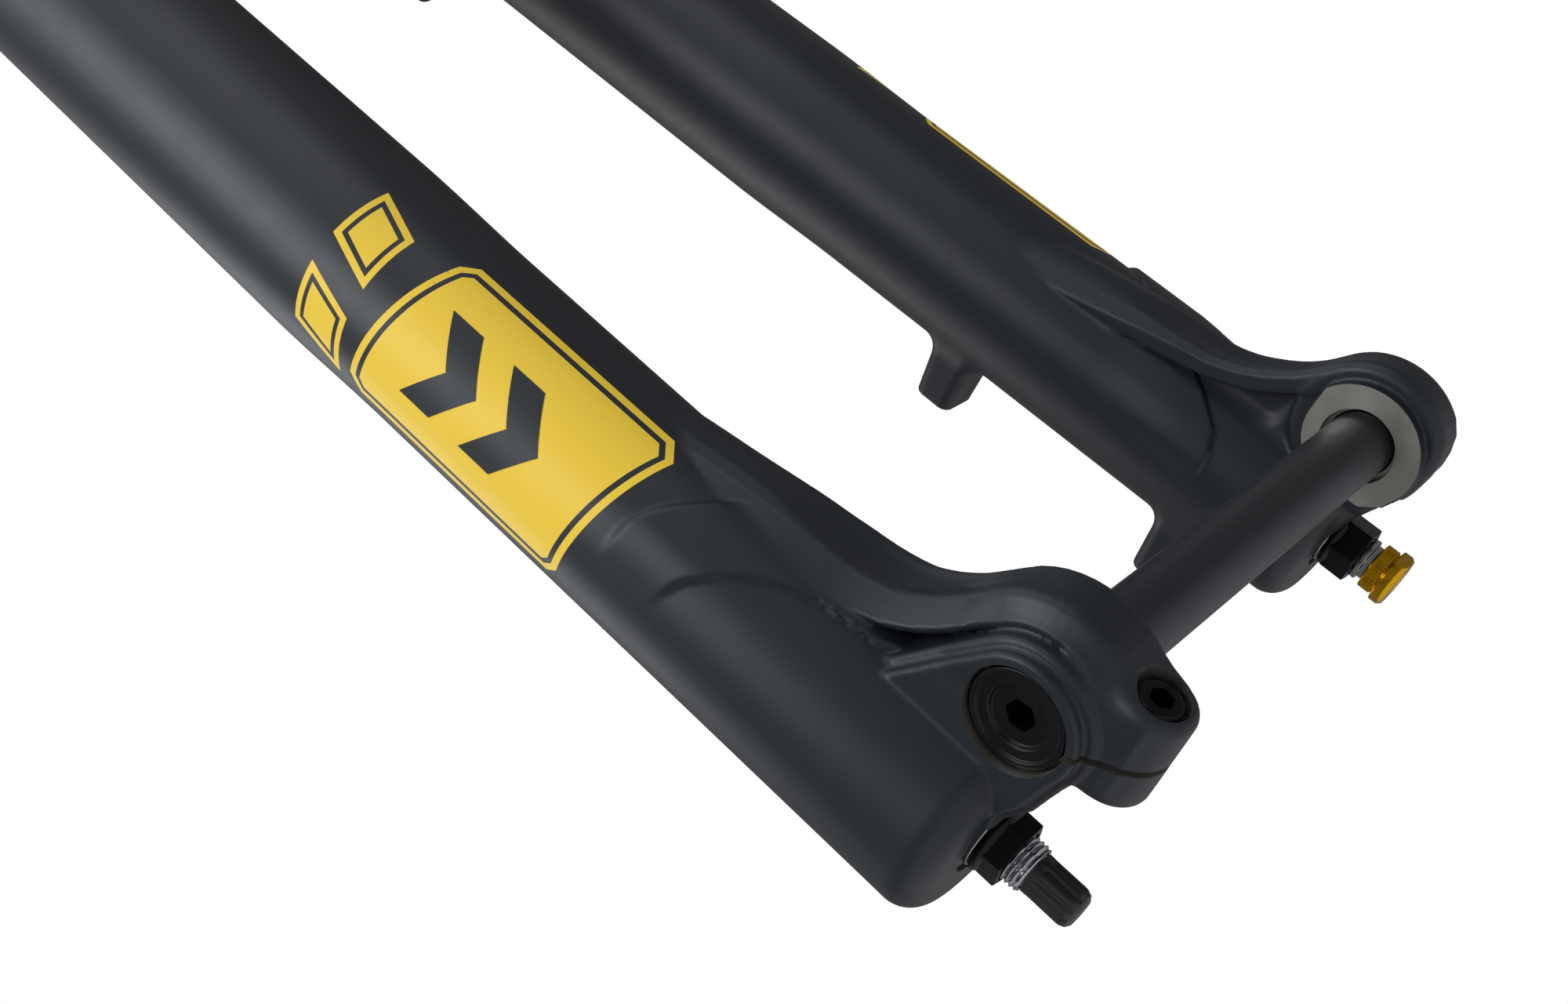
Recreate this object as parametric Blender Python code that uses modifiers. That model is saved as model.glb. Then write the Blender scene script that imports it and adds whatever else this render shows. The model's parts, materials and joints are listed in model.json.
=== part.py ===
"""Air-sprung mountain-bike suspension fork, built as separate pieces.

Frame: metres, +Z up along the steerer, +X to the rider's left, -Y the way the bike rides.
The origin is on the steerer's axis, at the face that the lower headset race sits on.
The fork stands at full extension; it shortens when the lower legs slide up by TRAVEL.
"""
import math

import bmesh
import bpy
from mathutils import Matrix, Vector

# ---------------------------------------------------------------- driving dimensions
TRAVEL = 0.150            # how far the lower legs slide on the stanchions
AXLE_TO_CROWN = 0.551     # axle to race seat at full extension
RAKE = 0.044              # axle ahead of the steerer's axis
AXLE_LEAD = 0.0314        # axle ahead of the legs' axis
LEG_SPACING = 0.140       # between the two legs' axes
HUB_WIDTH = 0.110         # between the faces that clamp the hub
AXLE_R = 0.0075           # 15 mm through axle

STEERER_LENGTH = 0.265    # uncut tube above the race seat
STEERER_TOP_R = 0.0143    # 1 1/8 inch
STEERER_TOP_WALL = 0.0023
STEERER_BASE_R = 0.0199   # race seat, for a 1.5 inch lower bearing
STEERER_BASE_WALL = 0.0034
RACE_HEIGHT = 0.010       # straight part that the headset race presses onto
TAPER_END = 0.085         # height where the steerer reaches its top size

STANCHION_R = 0.018
STANCHION_WALL = 0.0019
SOCKET_WALL = 0.0060      # crown around a stanchion
SOCKET_TOP = -0.008
SOCKET_BOTTOM = -0.052
CROWN_DEPTH = 0.040       # crown front to back
CROWN_CENTRE = 0.028      # crown thickness over the wheel
BOTTOM_OUT_GAP = 0.007    # left between wiper and crown when fully compressed

LEG_FOOT_R = 0.0212       # outside of a lower leg near the axle
LEG_KNEE_R = 0.0222       # where its straight part begins
LEG_SHAFT_R = 0.0230      # along its straight part
LEG_COLLAR_R = 0.0255     # round the wiper
LEG_FOOT_DROP = 0.005     # foot face below the axle
LEG_FLOOR = 0.012         # metal at the closed end of a leg
KNEE_HEIGHTS = (0.140, 0.180)   # above the axle
COLLAR_HEIGHT = 0.026

BUSHING_WALL = 0.0010
BUSHING_LENGTH = 0.020
FOAM_WALL = 0.0026
FOAM_HEIGHT = 0.009
WIPER_SEAT_DEPTH = 0.011
WIPER_SEAT_WALL = 0.0044
WIPER_LIP = 0.0045        # wiper standing above the leg

LUG_R = 0.0195            # dropout round the axle
LUG_INNER_R = 0.0142      # machined ring against the hub
LUG_REACH = 0.0217        # outer face of the right dropout beyond the hub face
LEFT_LUG_REACH = 0.0190
RING_HEIGHT = 0.003
AXLE_HEAD_R = 0.0090
AXLE_RECESS_R = 0.0104
AXLE_HEX = 0.0060         # across flats
SLIT_WIDTH = 0.0014
PINCH_R = 0.0025          # M5 pinch bolt
PINCH_DROP = 0.0158       # bolt's axis below the axle
PINCH_IN = 0.0105         # bolt's axis outside the hub face
PINCH_BOSS_R = 0.0068

POST_SPACING = 0.0742     # post-mount brake, hole to hole
POST_UPPER_HEIGHT = 0.0985  # above the axle
POST_FACE = 0.0341        # mounting face behind the leg's axis
POST_IN = 0.0080          # posts' centre inside the leg's axis
POST_WIDTH = 0.0130
POST_HEIGHT = 0.0116
POST_HOLE_R = 0.0026

ARCH_RISE = 0.0385        # underside of the arch above the legs' tops
ARCH_THICK = 0.022
ARCH_DEPTH = 0.015
ARCH_GAP = 0.0035         # between crown front and arch back

FIT = 0.0003              # clearance between pieces that touch
SEG_LARGE = 24
SEG_MEDIUM = 16
SEG_SMALL = 10

# ---------------------------------------------------------------- derived places
LEG_X = LEG_SPACING / 2
CROWN_OFFSET = RAKE - AXLE_LEAD
LEG_Y = -CROWN_OFFSET
AXLE_Y = -RAKE
AXLE_Z = -AXLE_TO_CROWN
HUB_X = HUB_WIDTH / 2
STANCHION_TOP = SOCKET_TOP - 0.002
WIPER_TOP = SOCKET_BOTTOM - TRAVEL - BOTTOM_OUT_GAP
LEG_TOP = WIPER_TOP - WIPER_LIP
LEG_FOOT = AXLE_Z - LEG_FOOT_DROP
LEG_FLOOR_TOP = LEG_FOOT + LEG_FLOOR
STANCHION_BOTTOM = LEG_FLOOR_TOP + TRAVEL + 0.006
STANCHION_BORE_R = STANCHION_R - STANCHION_WALL
SOCKET_R = STANCHION_R + FIT + SOCKET_WALL
BUSHING_R = STANCHION_R + FIT + BUSHING_WALL
LEG_BORE_R = BUSHING_R + FIT
FOAM_R = STANCHION_R + FIT + FOAM_WALL
WIPER_SEAT_R = STANCHION_R + FIT + WIPER_SEAT_WALL
LEFT, RIGHT = 1, -1
SIDES = ((LEFT, "left"), (RIGHT, "right"))


# ---------------------------------------------------------------- scene and materials
def clear_scene():
    for obj in list(bpy.data.objects):
        bpy.data.objects.remove(obj, do_unlink=True)


def new_collection(name):
    collection = bpy.data.collections.new(name)
    bpy.context.scene.collection.children.link(collection)
    return collection


def linear(channel):
    value = channel / 255
    return value / 12.92 if value <= 0.04045 else ((value + 0.055) / 1.055) ** 2.4


def make_material(name, hex_colour, roughness, metallic):
    material = bpy.data.materials.new(name)
    material.use_nodes = True
    shader = material.node_tree.nodes["Principled BSDF"]
    rgb = [linear(int(hex_colour[i:i + 2], 16)) for i in (0, 2, 4)]
    shader.inputs["Base Color"].default_value = (*rgb, 1)
    shader.inputs["Roughness"].default_value = roughness
    shader.inputs["Metallic"].default_value = metallic
    return material


# finish name: colour, roughness, metallic
FINISHES = {
    "painted_magnesium": ("2C3034", 0.50, 0.0),
    "black_anodised": ("17181A", 0.38, 0.9),
    "gold_anodised": ("D9A514", 0.32, 1.0),
    "bare_aluminium": ("A8A9AB", 0.35, 1.0),
    "black_steel": ("141416", 0.40, 0.8),
    "bright_steel": ("9A9A9E", 0.28, 1.0),
    "axle_anodised": ("3A3C42", 0.42, 0.8),
    "rubber": ("18181A", 0.80, 0.0),
    "foam": ("55585A", 0.95, 0.0),
    "plastic": ("1A1A1C", 0.45, 0.0),
    "bushing_liner": ("6E6A60", 0.50, 0.6),
}

clear_scene()
FORK = new_collection("suspension_fork")
CUTTERS = new_collection("cutters")


# ---------------------------------------------------------------- shapes
def add_object(name, mesh, finish=None):
    """A finished piece, or a hidden cutter when no finish is given."""
    obj = bpy.data.objects.new(name, mesh)
    if finish is None:
        CUTTERS.objects.link(obj)
        obj.hide_render = True
        obj.display_type = "WIRE"
        return obj
    FORK.objects.link(obj)
    colour, roughness, metallic = FINISHES[finish]
    obj.data.materials.append(make_material(name, colour, roughness, metallic))
    return obj


def shade(obj, degrees=35):
    if obj.data.polygons:
        obj.data.shade_smooth()
        obj.data.set_sharp_from_angle(angle=math.radians(degrees))


def turned(name, profile, segments, finish=None, ring=False):
    """Turn (radius, height) points round Z. Points run down the outer side; a ring closes on itself."""
    mesh = bpy.data.meshes.new(name)
    count = len(profile)
    edges = [(i, i + 1) for i in range(count - 1)]
    if ring:
        edges.append((count - 1, 0))
    mesh.from_pydata([(r, 0, z) for r, z in profile], edges, [])
    obj = add_object(name, mesh, finish)
    screw = obj.modifiers.new("turn", "SCREW")
    screw.axis = "Z"
    screw.angle = 2 * math.pi
    screw.steps = screw.render_steps = segments
    screw.use_merge_vertices = True
    screw.merge_threshold = 0.00001
    screw.use_smooth_shade = True
    return obj


def disc(name, radius, top, bottom, segments, finish=None):
    return turned(name, [(0, top), (radius, top), (radius, bottom), (0, bottom)], segments, finish)


def sleeve(name, outer, inner, top, bottom, segments, finish=None):
    profile = [(outer, top), (outer, bottom), (inner, bottom), (inner, top)]
    return turned(name, profile, segments, finish, ring=True)


def box(name, low, high, finish=None):
    mesh = bpy.data.meshes.new(name)
    form = bmesh.new()
    bmesh.ops.create_cube(form, size=1)
    size = [b - a for a, b in zip(low, high)]
    middle = [(a + b) / 2 for a, b in zip(low, high)]
    bmesh.ops.scale(form, vec=size, verts=form.verts)
    bmesh.ops.translate(form, vec=middle, verts=form.verts)
    form.to_mesh(mesh)
    form.free()
    return add_object(name, mesh, finish)


def prism(name, across_flats, top, bottom, sides=6, finish=None):
    """Hexagonal (or other) bar along Z."""
    mesh = bpy.data.meshes.new(name)
    form = bmesh.new()
    radius = across_flats / 2 / math.cos(math.pi / sides)
    bmesh.ops.create_cone(form, cap_ends=True, segments=sides, radius1=radius, radius2=radius,
                          depth=top - bottom)
    bmesh.ops.translate(form, vec=(0, 0, (top + bottom) / 2), verts=form.verts)
    form.to_mesh(mesh)
    form.free()
    return add_object(name, mesh, finish)


def outline(name, points, thickness, finish=None):
    """Flat outline in XY, extruded to +-thickness/2 along Z, as a welded mesh."""
    curve = bpy.data.curves.new(name + "_outline", "CURVE")
    curve.dimensions = "2D"
    curve.fill_mode = "BOTH"
    curve.extrude = thickness / 2
    spline = curve.splines.new("POLY")
    spline.points.add(len(points) - 1)
    for point, (x, y) in zip(spline.points, points):
        point.co = (x, y, 0, 1)
    spline.use_cyclic_u = True
    guide = bpy.data.objects.new(name + "_outline", curve)
    CUTTERS.objects.link(guide)
    evaluated = guide.evaluated_get(bpy.context.evaluated_depsgraph_get())
    mesh = bpy.data.meshes.new_from_object(evaluated)
    bpy.data.objects.remove(guide)
    form = bmesh.new()
    form.from_mesh(mesh)
    bmesh.ops.remove_doubles(form, verts=form.verts, dist=0.000001)
    bmesh.ops.recalc_face_normals(form, faces=form.faces)
    form.to_mesh(mesh)
    form.free()
    return add_object(name, mesh, finish)


def wire(name, points, radius, finish):
    """Round wire along the given points."""
    curve = bpy.data.curves.new(name, "CURVE")
    curve.dimensions = "3D"
    curve.bevel_depth = radius
    curve.bevel_resolution = 2
    curve.use_fill_caps = True
    spline = curve.splines.new("POLY")
    spline.points.add(len(points) - 1)
    for point, place in zip(spline.points, points):
        point.co = (*place, 1)
    return add_object(name, curve, finish)


def arc(centre, radius, start, end, steps):
    """Points on an arc, angles in degrees."""
    angles = [math.radians(start + (end - start) * i / steps) for i in range(steps + 1)]
    return [(centre[0] + radius * math.cos(a), centre[1] + radius * math.sin(a)) for a in angles]


def boolean(target, tools, operation):
    """One exact Boolean of the target with all the tools at once."""
    group = bpy.data.collections.new("%s_%s" % (target.name, operation.lower()))
    CUTTERS.children.link(group)
    for tool in tools:
        CUTTERS.objects.unlink(tool)
        group.objects.link(tool)
    modifier = target.modifiers.new(group.name, "BOOLEAN")
    modifier.operation = operation
    modifier.solver = "EXACT"
    modifier.operand_type = "COLLECTION"
    modifier.collection = group


def cut(target, *tools):
    boolean(target, tools, "DIFFERENCE")


def join(target, *tools):
    boolean(target, tools, "UNION")


def place(obj, x=0, y=0, z=0):
    obj.location = (x, y, z)
    return obj


def along_x(obj, x=0, y=0, z=0, sign=1):
    """Lay a piece built along Z so that its +Z points to +X, or to -X."""
    obj.rotation_euler = (0, sign * math.pi / 2, 0)
    return place(obj, x, y, z)


def along_y(obj, x=0, y=0, z=0):
    """Lay a piece built along Z so that its +Z points to -Y."""
    obj.rotation_euler = (math.pi / 2, 0, 0)
    return place(obj, x, y, z)


def on_leg(obj, side):
    return place(obj, side * LEG_X, LEG_Y)


# ---------------------------------------------------------------- steerer, crown, stanchions
CROWN_TOP = 0.0
STEERER_FOOT = -CROWN_CENTRE + 0.001


def make_steerer():
    base_bore = STEERER_BASE_R - STEERER_BASE_WALL
    top_bore = STEERER_TOP_R - STEERER_TOP_WALL
    profile = [
        (STEERER_TOP_R, STEERER_LENGTH), (STEERER_TOP_R, TAPER_END),
        (STEERER_BASE_R - 0.0012, RACE_HEIGHT + 0.004), (STEERER_BASE_R, RACE_HEIGHT),
        (STEERER_BASE_R, STEERER_FOOT), (base_bore, STEERER_FOOT),
        (base_bore, RACE_HEIGHT), (top_bore, TAPER_END), (top_bore, STEERER_LENGTH)]
    return turned("steerer_tube", profile, SEG_LARGE, "black_anodised", ring=True)


def make_crown():
    """Forged bridge: an arched body, a hub for the steerer and a socket for each stanchion."""
    half = LEG_X + 0.0037
    inner = LEG_X - SOCKET_R + 0.002
    foot = SOCKET_BOTTOM + 0.004
    drop = -CROWN_CENTRE - foot
    radius = (inner ** 2 + drop ** 2) / (2 * drop)
    swing = math.degrees(math.asin(inner / radius))
    body = [(-half, foot)] + arc((0, -CROWN_CENTRE - radius), radius, 90 + swing, 90 - swing, 12)
    shoulder = LEG_X * 0.72
    body += [(half, foot), (half, SOCKET_TOP - 0.003), (shoulder, SOCKET_TOP - 0.001), (0.030, -0.001),
             (-0.030, -0.001), (-shoulder, SOCKET_TOP - 0.001), (-half, SOCKET_TOP - 0.003)]
    crown = outline("crown", body, CROWN_DEPTH, "black_anodised")
    crown.rotation_euler = (math.pi / 2, 0, 0)
    place(crown, 0, LEG_Y)
    hub_r = STEERER_BASE_R + 0.0065
    hub = turned("crown_hub", [(0, CROWN_TOP), (hub_r - 0.003, CROWN_TOP), (hub_r, CROWN_TOP - 0.003),
                               (hub_r, -CROWN_CENTRE), (0, -CROWN_CENTRE)], SEG_LARGE)
    socket_profile = [
        (0, SOCKET_TOP), (SOCKET_R - 0.0015, SOCKET_TOP), (SOCKET_R, SOCKET_TOP - 0.0015),
        (SOCKET_R, SOCKET_BOTTOM + 0.0015), (SOCKET_R - 0.0015, SOCKET_BOTTOM), (0, SOCKET_BOTTOM)]
    sockets = [on_leg(turned("crown_socket_" + word, socket_profile, SEG_LARGE), side)
               for side, word in SIDES]
    bores = [on_leg(disc("crown_bore_" + word, STANCHION_R + FIT, SOCKET_TOP + 0.01, SOCKET_BOTTOM - 0.01,
                         SEG_LARGE), side) for side, word in SIDES]
    join(crown, hub, *sockets)
    bore = disc("crown_steerer_bore", STEERER_BASE_R + FIT, 0.02, -CROWN_CENTRE - 0.02, SEG_LARGE)
    cut(crown, bore, *bores)
    return crown


def make_stanchion(side, word):
    chamfer = 0.001
    profile = [
        (STANCHION_R, STANCHION_TOP), (STANCHION_R, STANCHION_BOTTOM + chamfer),
        (STANCHION_R - chamfer, STANCHION_BOTTOM), (STANCHION_BORE_R, STANCHION_BOTTOM),
        (STANCHION_BORE_R, STANCHION_TOP)]
    tube = turned("stanchion_" + word, profile, SEG_LARGE, "black_anodised", ring=True)
    return on_leg(tube, side)


# ---------------------------------------------------------------- top caps and their controls
CAP_FLANGE = 0.0040
CAP_BOTTOM = SOCKET_TOP + FIT
CAP_TOP = CAP_BOTTOM + CAP_FLANGE
CAP_SPIGOT = 0.014        # threaded length in the stanchion
LEVER_BORE_R = 0.0052     # hole in the damper's cap for the adjusters
SLEEVE_R = LEVER_BORE_R - FIT
SLEEVE_BORE_R = 0.0030
NEEDLE_R = SLEEVE_BORE_R - FIT
LEVER_TOP = CAP_TOP + FIT + 0.0045
KNOB_TOP = LEVER_TOP + FIT + 0.0075
VALVE_STEM_R = 0.0039
VALVE_BORE_R = 0.0026
VALVE_STEM_TOP = CAP_TOP + 0.009
O_RING_R = 0.0008


def cap_profile(bore):
    flange = STANCHION_R + 0.0012
    spigot = STANCHION_BORE_R - FIT
    groove = spigot - 2 * O_RING_R
    top = CAP_TOP
    return [
        (flange - 0.001, top), (flange, top - 0.001), (flange, CAP_BOTTOM), (spigot, CAP_BOTTOM),
        (spigot, CAP_BOTTOM - 0.0070), (groove, CAP_BOTTOM - 0.0070), (groove, CAP_BOTTOM - 0.0090),
        (spigot, CAP_BOTTOM - 0.0090), (spigot, CAP_BOTTOM - CAP_SPIGOT), (bore, CAP_BOTTOM - CAP_SPIGOT)]


def o_ring(name, side, height):
    """Ring in a cap's groove, as a turned eight-sided section."""
    centre = STANCHION_BORE_R - FIT - O_RING_R + 0.00005
    section = [(centre + O_RING_R * 0.9 * math.cos(a), height - O_RING_R * 0.9 * math.sin(a))
               for a in (math.radians(22.5 + 60 * i) for i in range(6))]
    return on_leg(turned(name, section, SEG_MEDIUM, "rubber", ring=True), side)


def make_damper_top():
    cap = turned("damper_top_cap", cap_profile(LEVER_BORE_R) + [(LEVER_BORE_R, CAP_TOP)], SEG_MEDIUM,
                 "black_anodised", ring=True)
    on_leg(cap, LEFT)
    o_ring("damper_cap_seal", LEFT, CAP_BOTTOM - 0.0080)
    low = CAP_TOP + FIT
    lever_r = 0.0130
    lever = turned("high_speed_lever", [
        (lever_r - 0.0008, LEVER_TOP), (lever_r, LEVER_TOP - 0.0008), (lever_r, low),
        (SLEEVE_R, low), (SLEEVE_R, CAP_BOTTOM - CAP_SPIGOT - 0.006),
        (SLEEVE_BORE_R, CAP_BOTTOM - CAP_SPIGOT - 0.006), (SLEEVE_BORE_R, LEVER_TOP)],
        SEG_MEDIUM, "black_anodised", ring=True)
    on_leg(lever, LEFT)
    blade = box("high_speed_blade", (LEG_X - 0.0035, LEG_Y - 0.0195, low),
                (LEG_X + 0.0035, LEG_Y - 0.0110, LEVER_TOP))
    join(lever, blade)
    knob_low = LEVER_TOP + FIT
    knob_r = 0.0090
    knob = turned("low_speed_knob", [
        (0, KNOB_TOP), (knob_r - 0.0010, KNOB_TOP), (knob_r, KNOB_TOP - 0.0010), (knob_r, knob_low),
        (NEEDLE_R, knob_low), (NEEDLE_R, VALVE_TOP + 0.0005), (0, VALVE_TOP + 0.0005)],
        SEG_MEDIUM, "gold_anodised")
    on_leg(knob, LEFT)
    flute_r = 0.0022
    reach = knob_r + flute_r * 0.55
    flutes = []
    for i in range(6):
        angle = math.radians(30 + 60 * i)
        flute = disc("knob_flute_%d" % i, flute_r, KNOB_TOP + 0.002, knob_low - 0.00015, SEG_SMALL)
        flutes.append(place(flute, LEG_X + reach * math.cos(angle), LEG_Y + reach * math.sin(angle)))
    cut(knob, *flutes)


def make_air_top():
    profile = [(VALVE_STEM_R, VALVE_STEM_TOP), (VALVE_STEM_R, CAP_TOP)] + cap_profile(VALVE_BORE_R)
    cap = turned("air_top_cap", profile + [(VALVE_BORE_R, VALVE_STEM_TOP)], SEG_MEDIUM, "black_anodised",
                 ring=True)
    on_leg(cap, RIGHT)
    o_ring("air_cap_seal", RIGHT, CAP_BOTTOM - 0.0080)
    core = disc("main_valve_core", VALVE_BORE_R - FIT, VALVE_STEM_TOP - 0.0005, CAP_BOTTOM - 0.006, SEG_SMALL,
                "bright_steel")
    on_leg(core, RIGHT)
    bore = VALVE_STEM_R + FIT
    outer = 0.0105
    top = VALVE_STEM_TOP + 0.0035
    cover = turned("main_valve_cover", [
        (0, top), (outer - 0.0015, top), (outer, top - 0.0015), (outer, CAP_TOP + FIT), (bore, CAP_TOP + FIT),
        (bore, VALVE_STEM_TOP + FIT), (0, VALVE_STEM_TOP + FIT)], SEG_MEDIUM, "black_anodised")
    on_leg(cover, RIGHT)


# ---------------------------------------------------------------- damper, in the left leg
CARTRIDGE_GAP = 0.0023      # between the stanchion's bore and the cartridge
CARTRIDGE_R = STANCHION_BORE_R - CARTRIDGE_GAP
CARTRIDGE_WALL = 0.0012
INNER_TUBE_R = 0.7246 * CARTRIDGE_R
INNER_TUBE_WALL = 0.0010
SHAFT_R = 0.5 * INNER_TUBE_R
ROD_R = 0.36 * SHAFT_R      # rebound rod inside the shaft
VALVE_TOP = CAP_BOTTOM - CAP_SPIGOT - 0.040   # compression valve below the cap
VALVE_HEIGHT = 0.020
SEAL_HEAD_TOP = VALVE_TOP - VALVE_HEIGHT - TRAVEL - 0.078
SEAL_HEAD_HEIGHT = 0.016
PISTON_HEIGHT = 0.012
BUMPER_HEIGHT = 0.006


def make_damper():
    bore = CARTRIDGE_R - CARTRIDGE_WALL
    inner_bore = INNER_TUBE_R - INNER_TUBE_WALL
    head_bottom = SEAL_HEAD_TOP - SEAL_HEAD_HEIGHT
    tube_bottom = SEAL_HEAD_TOP - 0.010
    on_leg(sleeve("cartridge_tube", CARTRIDGE_R, bore, CAP_BOTTOM - CAP_SPIGOT - FIT, tube_bottom, SEG_MEDIUM,
                  "bare_aluminium"), LEFT)
    valve_low = VALVE_TOP - VALVE_HEIGHT
    valve = turned("compression_valve", [
        (0, VALVE_TOP), (bore - FIT, VALVE_TOP), (bore - FIT, valve_low), (inner_bore - FIT, valve_low),
        (inner_bore - FIT, valve_low - 0.005), (0, valve_low - 0.005)], SEG_MEDIUM, "gold_anodised")
    on_leg(valve, LEFT)
    on_leg(sleeve("damper_inner_tube", INNER_TUBE_R, inner_bore, valve_low - FIT, SEAL_HEAD_TOP + FIT,
                  SEG_MEDIUM, "bare_aluminium"), LEFT)
    head = turned("damper_seal_head", [
        (bore - FIT, SEAL_HEAD_TOP), (bore - FIT, tube_bottom - FIT), (CARTRIDGE_R, tube_bottom - FIT),
        (CARTRIDGE_R, head_bottom), (SHAFT_R + FIT, head_bottom), (SHAFT_R + FIT, SEAL_HEAD_TOP)],
        SEG_MEDIUM, "black_anodised", ring=True)
    on_leg(head, LEFT)
    bumper_top = SEAL_HEAD_TOP + FIT + BUMPER_HEIGHT
    on_leg(sleeve("top_out_bumper", inner_bore - 2 * FIT, SHAFT_R + FIT, bumper_top, SEAL_HEAD_TOP + FIT,
                  SEG_SMALL, "rubber"), LEFT)
    low = bumper_top + FIT
    top = low + PISTON_HEIGHT
    land = inner_bore - 2 * FIT
    groove = land - 0.0011
    mouth = SHAFT_R + FIT
    piston = turned("rebound_piston", [
        (land, top), (land, top - 0.003), (groove, top - 0.003), (groove, low + 0.003), (land, low + 0.003),
        (land, low), (mouth, low), (mouth, top - 0.002), (ROD_R + FIT, top - 0.002), (ROD_R + FIT, top)],
        SEG_MEDIUM, "gold_anodised", ring=True)
    on_leg(piston, LEFT)
    on_leg(sleeve("piston_glide_ring", inner_bore - FIT, groove + FIT, top - 0.003 - FIT, low + 0.003 + FIT,
                  SEG_MEDIUM, "plastic"), LEFT)
    return top - 0.002 - FIT


FOOT_HOLE_R = 0.0055
FOOT_THREAD_R = 0.0050
WASHER_THICK = 0.0009
NUT_FLANGE_R = 0.0073
AIR_NUT_END = AXLE_Z - 0.0114
AIR_THREAD_END = AXLE_Z - 0.0149
DAMPER_NUT_END = AXLE_Z - 0.0133
DAMPER_THREAD_END = AXLE_Z - 0.0161
KNOB_FOOT = AXLE_Z - 0.0232
CAP_FOOT = AXLE_Z - 0.0255
SPOT_FACE_R = 0.0090
SPOT_DEPTH = 0.0008


def foot_nut(name, side, end, across_flats):
    """Washer and flanged nut that hold a shaft to the leg's foot."""
    seat = LEG_FOOT + SPOT_DEPTH - FIT
    bore = FOOT_THREAD_R + FIT
    on_leg(sleeve(name + "_washer", NUT_FLANGE_R, bore, seat, seat - WASHER_THICK, SEG_SMALL,
                  "bare_aluminium"), side)
    top = seat - WASHER_THICK - FIT
    nut = prism(name, across_flats, top - 0.0006, end, finish="black_steel")
    nut.rotation_euler = (0, 0, math.radians(13))
    join(nut, on_leg(disc(name + "_flange", NUT_FLANGE_R, top, top - 0.0014, SEG_MEDIUM), side))
    cut(nut, on_leg(disc(name + "_bore", bore, top + 0.01, end - 0.01, SEG_SMALL), side))
    on_leg(nut, side)


def make_damper_shaft(shaft_top):
    collar_top = LEG_FLOOR_TOP + FIT + 0.006
    collar_r = 0.0085
    bore = ROD_R + FIT
    shaft = turned("damper_shaft", [
        (SHAFT_R, shaft_top), (SHAFT_R, collar_top), (collar_r, collar_top), (collar_r, LEG_FLOOR_TOP + FIT),
        (FOOT_THREAD_R, LEG_FLOOR_TOP + FIT), (FOOT_THREAD_R, DAMPER_THREAD_END), (bore, DAMPER_THREAD_END),
        (bore, shaft_top)], SEG_MEDIUM, "bright_steel", ring=True)
    on_leg(shaft, LEFT)
    foot_nut("damper_foot_nut", LEFT, DAMPER_NUT_END, 0.0130)
    knob_top = DAMPER_THREAD_END - FIT
    knob_r = 0.0059
    wide_r = 0.0068
    knob = turned("rebound_knob", [
        (0, shaft_top - 0.004), (ROD_R, shaft_top - 0.004), (ROD_R, knob_top), (knob_r, knob_top),
        (knob_r, knob_top - 0.0028), (knob_r - 0.0006, knob_top - 0.0030), (wide_r, knob_top - 0.0036),
        (wide_r, KNOB_FOOT + 0.0008), (wide_r - 0.0008, KNOB_FOOT), (0, KNOB_FOOT)],
        SEG_MEDIUM, "gold_anodised")
    on_leg(knob, LEFT)
    grip = 0.0044
    flats = []
    for word, sign in (("front", -1), ("back", 1)):
        near, far = sorted((sign * grip, sign * 0.012))
        flats.append(box("rebound_flat_" + word, (LEG_X - 0.012, LEG_Y + near, KNOB_FOOT - 0.002),
                         (LEG_X + 0.012, LEG_Y + far, knob_top - 0.0042)))
    cut(knob, *flats)


# ---------------------------------------------------------------- air spring, in the right leg
AIR_SHAFT_R = 0.0085
AIR_SHAFT_WALL = 0.0014
AIR_HEAD_HEIGHT = 0.022
CLIP_HEIGHT = 0.0014
TOP_OUT_LENGTH = 0.020
TOP_OUT_WIRE = 0.0011
TOP_OUT_TURNS = 3
AIR_PISTON_HEIGHT = 0.016
RAMP_STUB_R = 0.0034
RAMP_BORE_R = 0.0023


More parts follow.
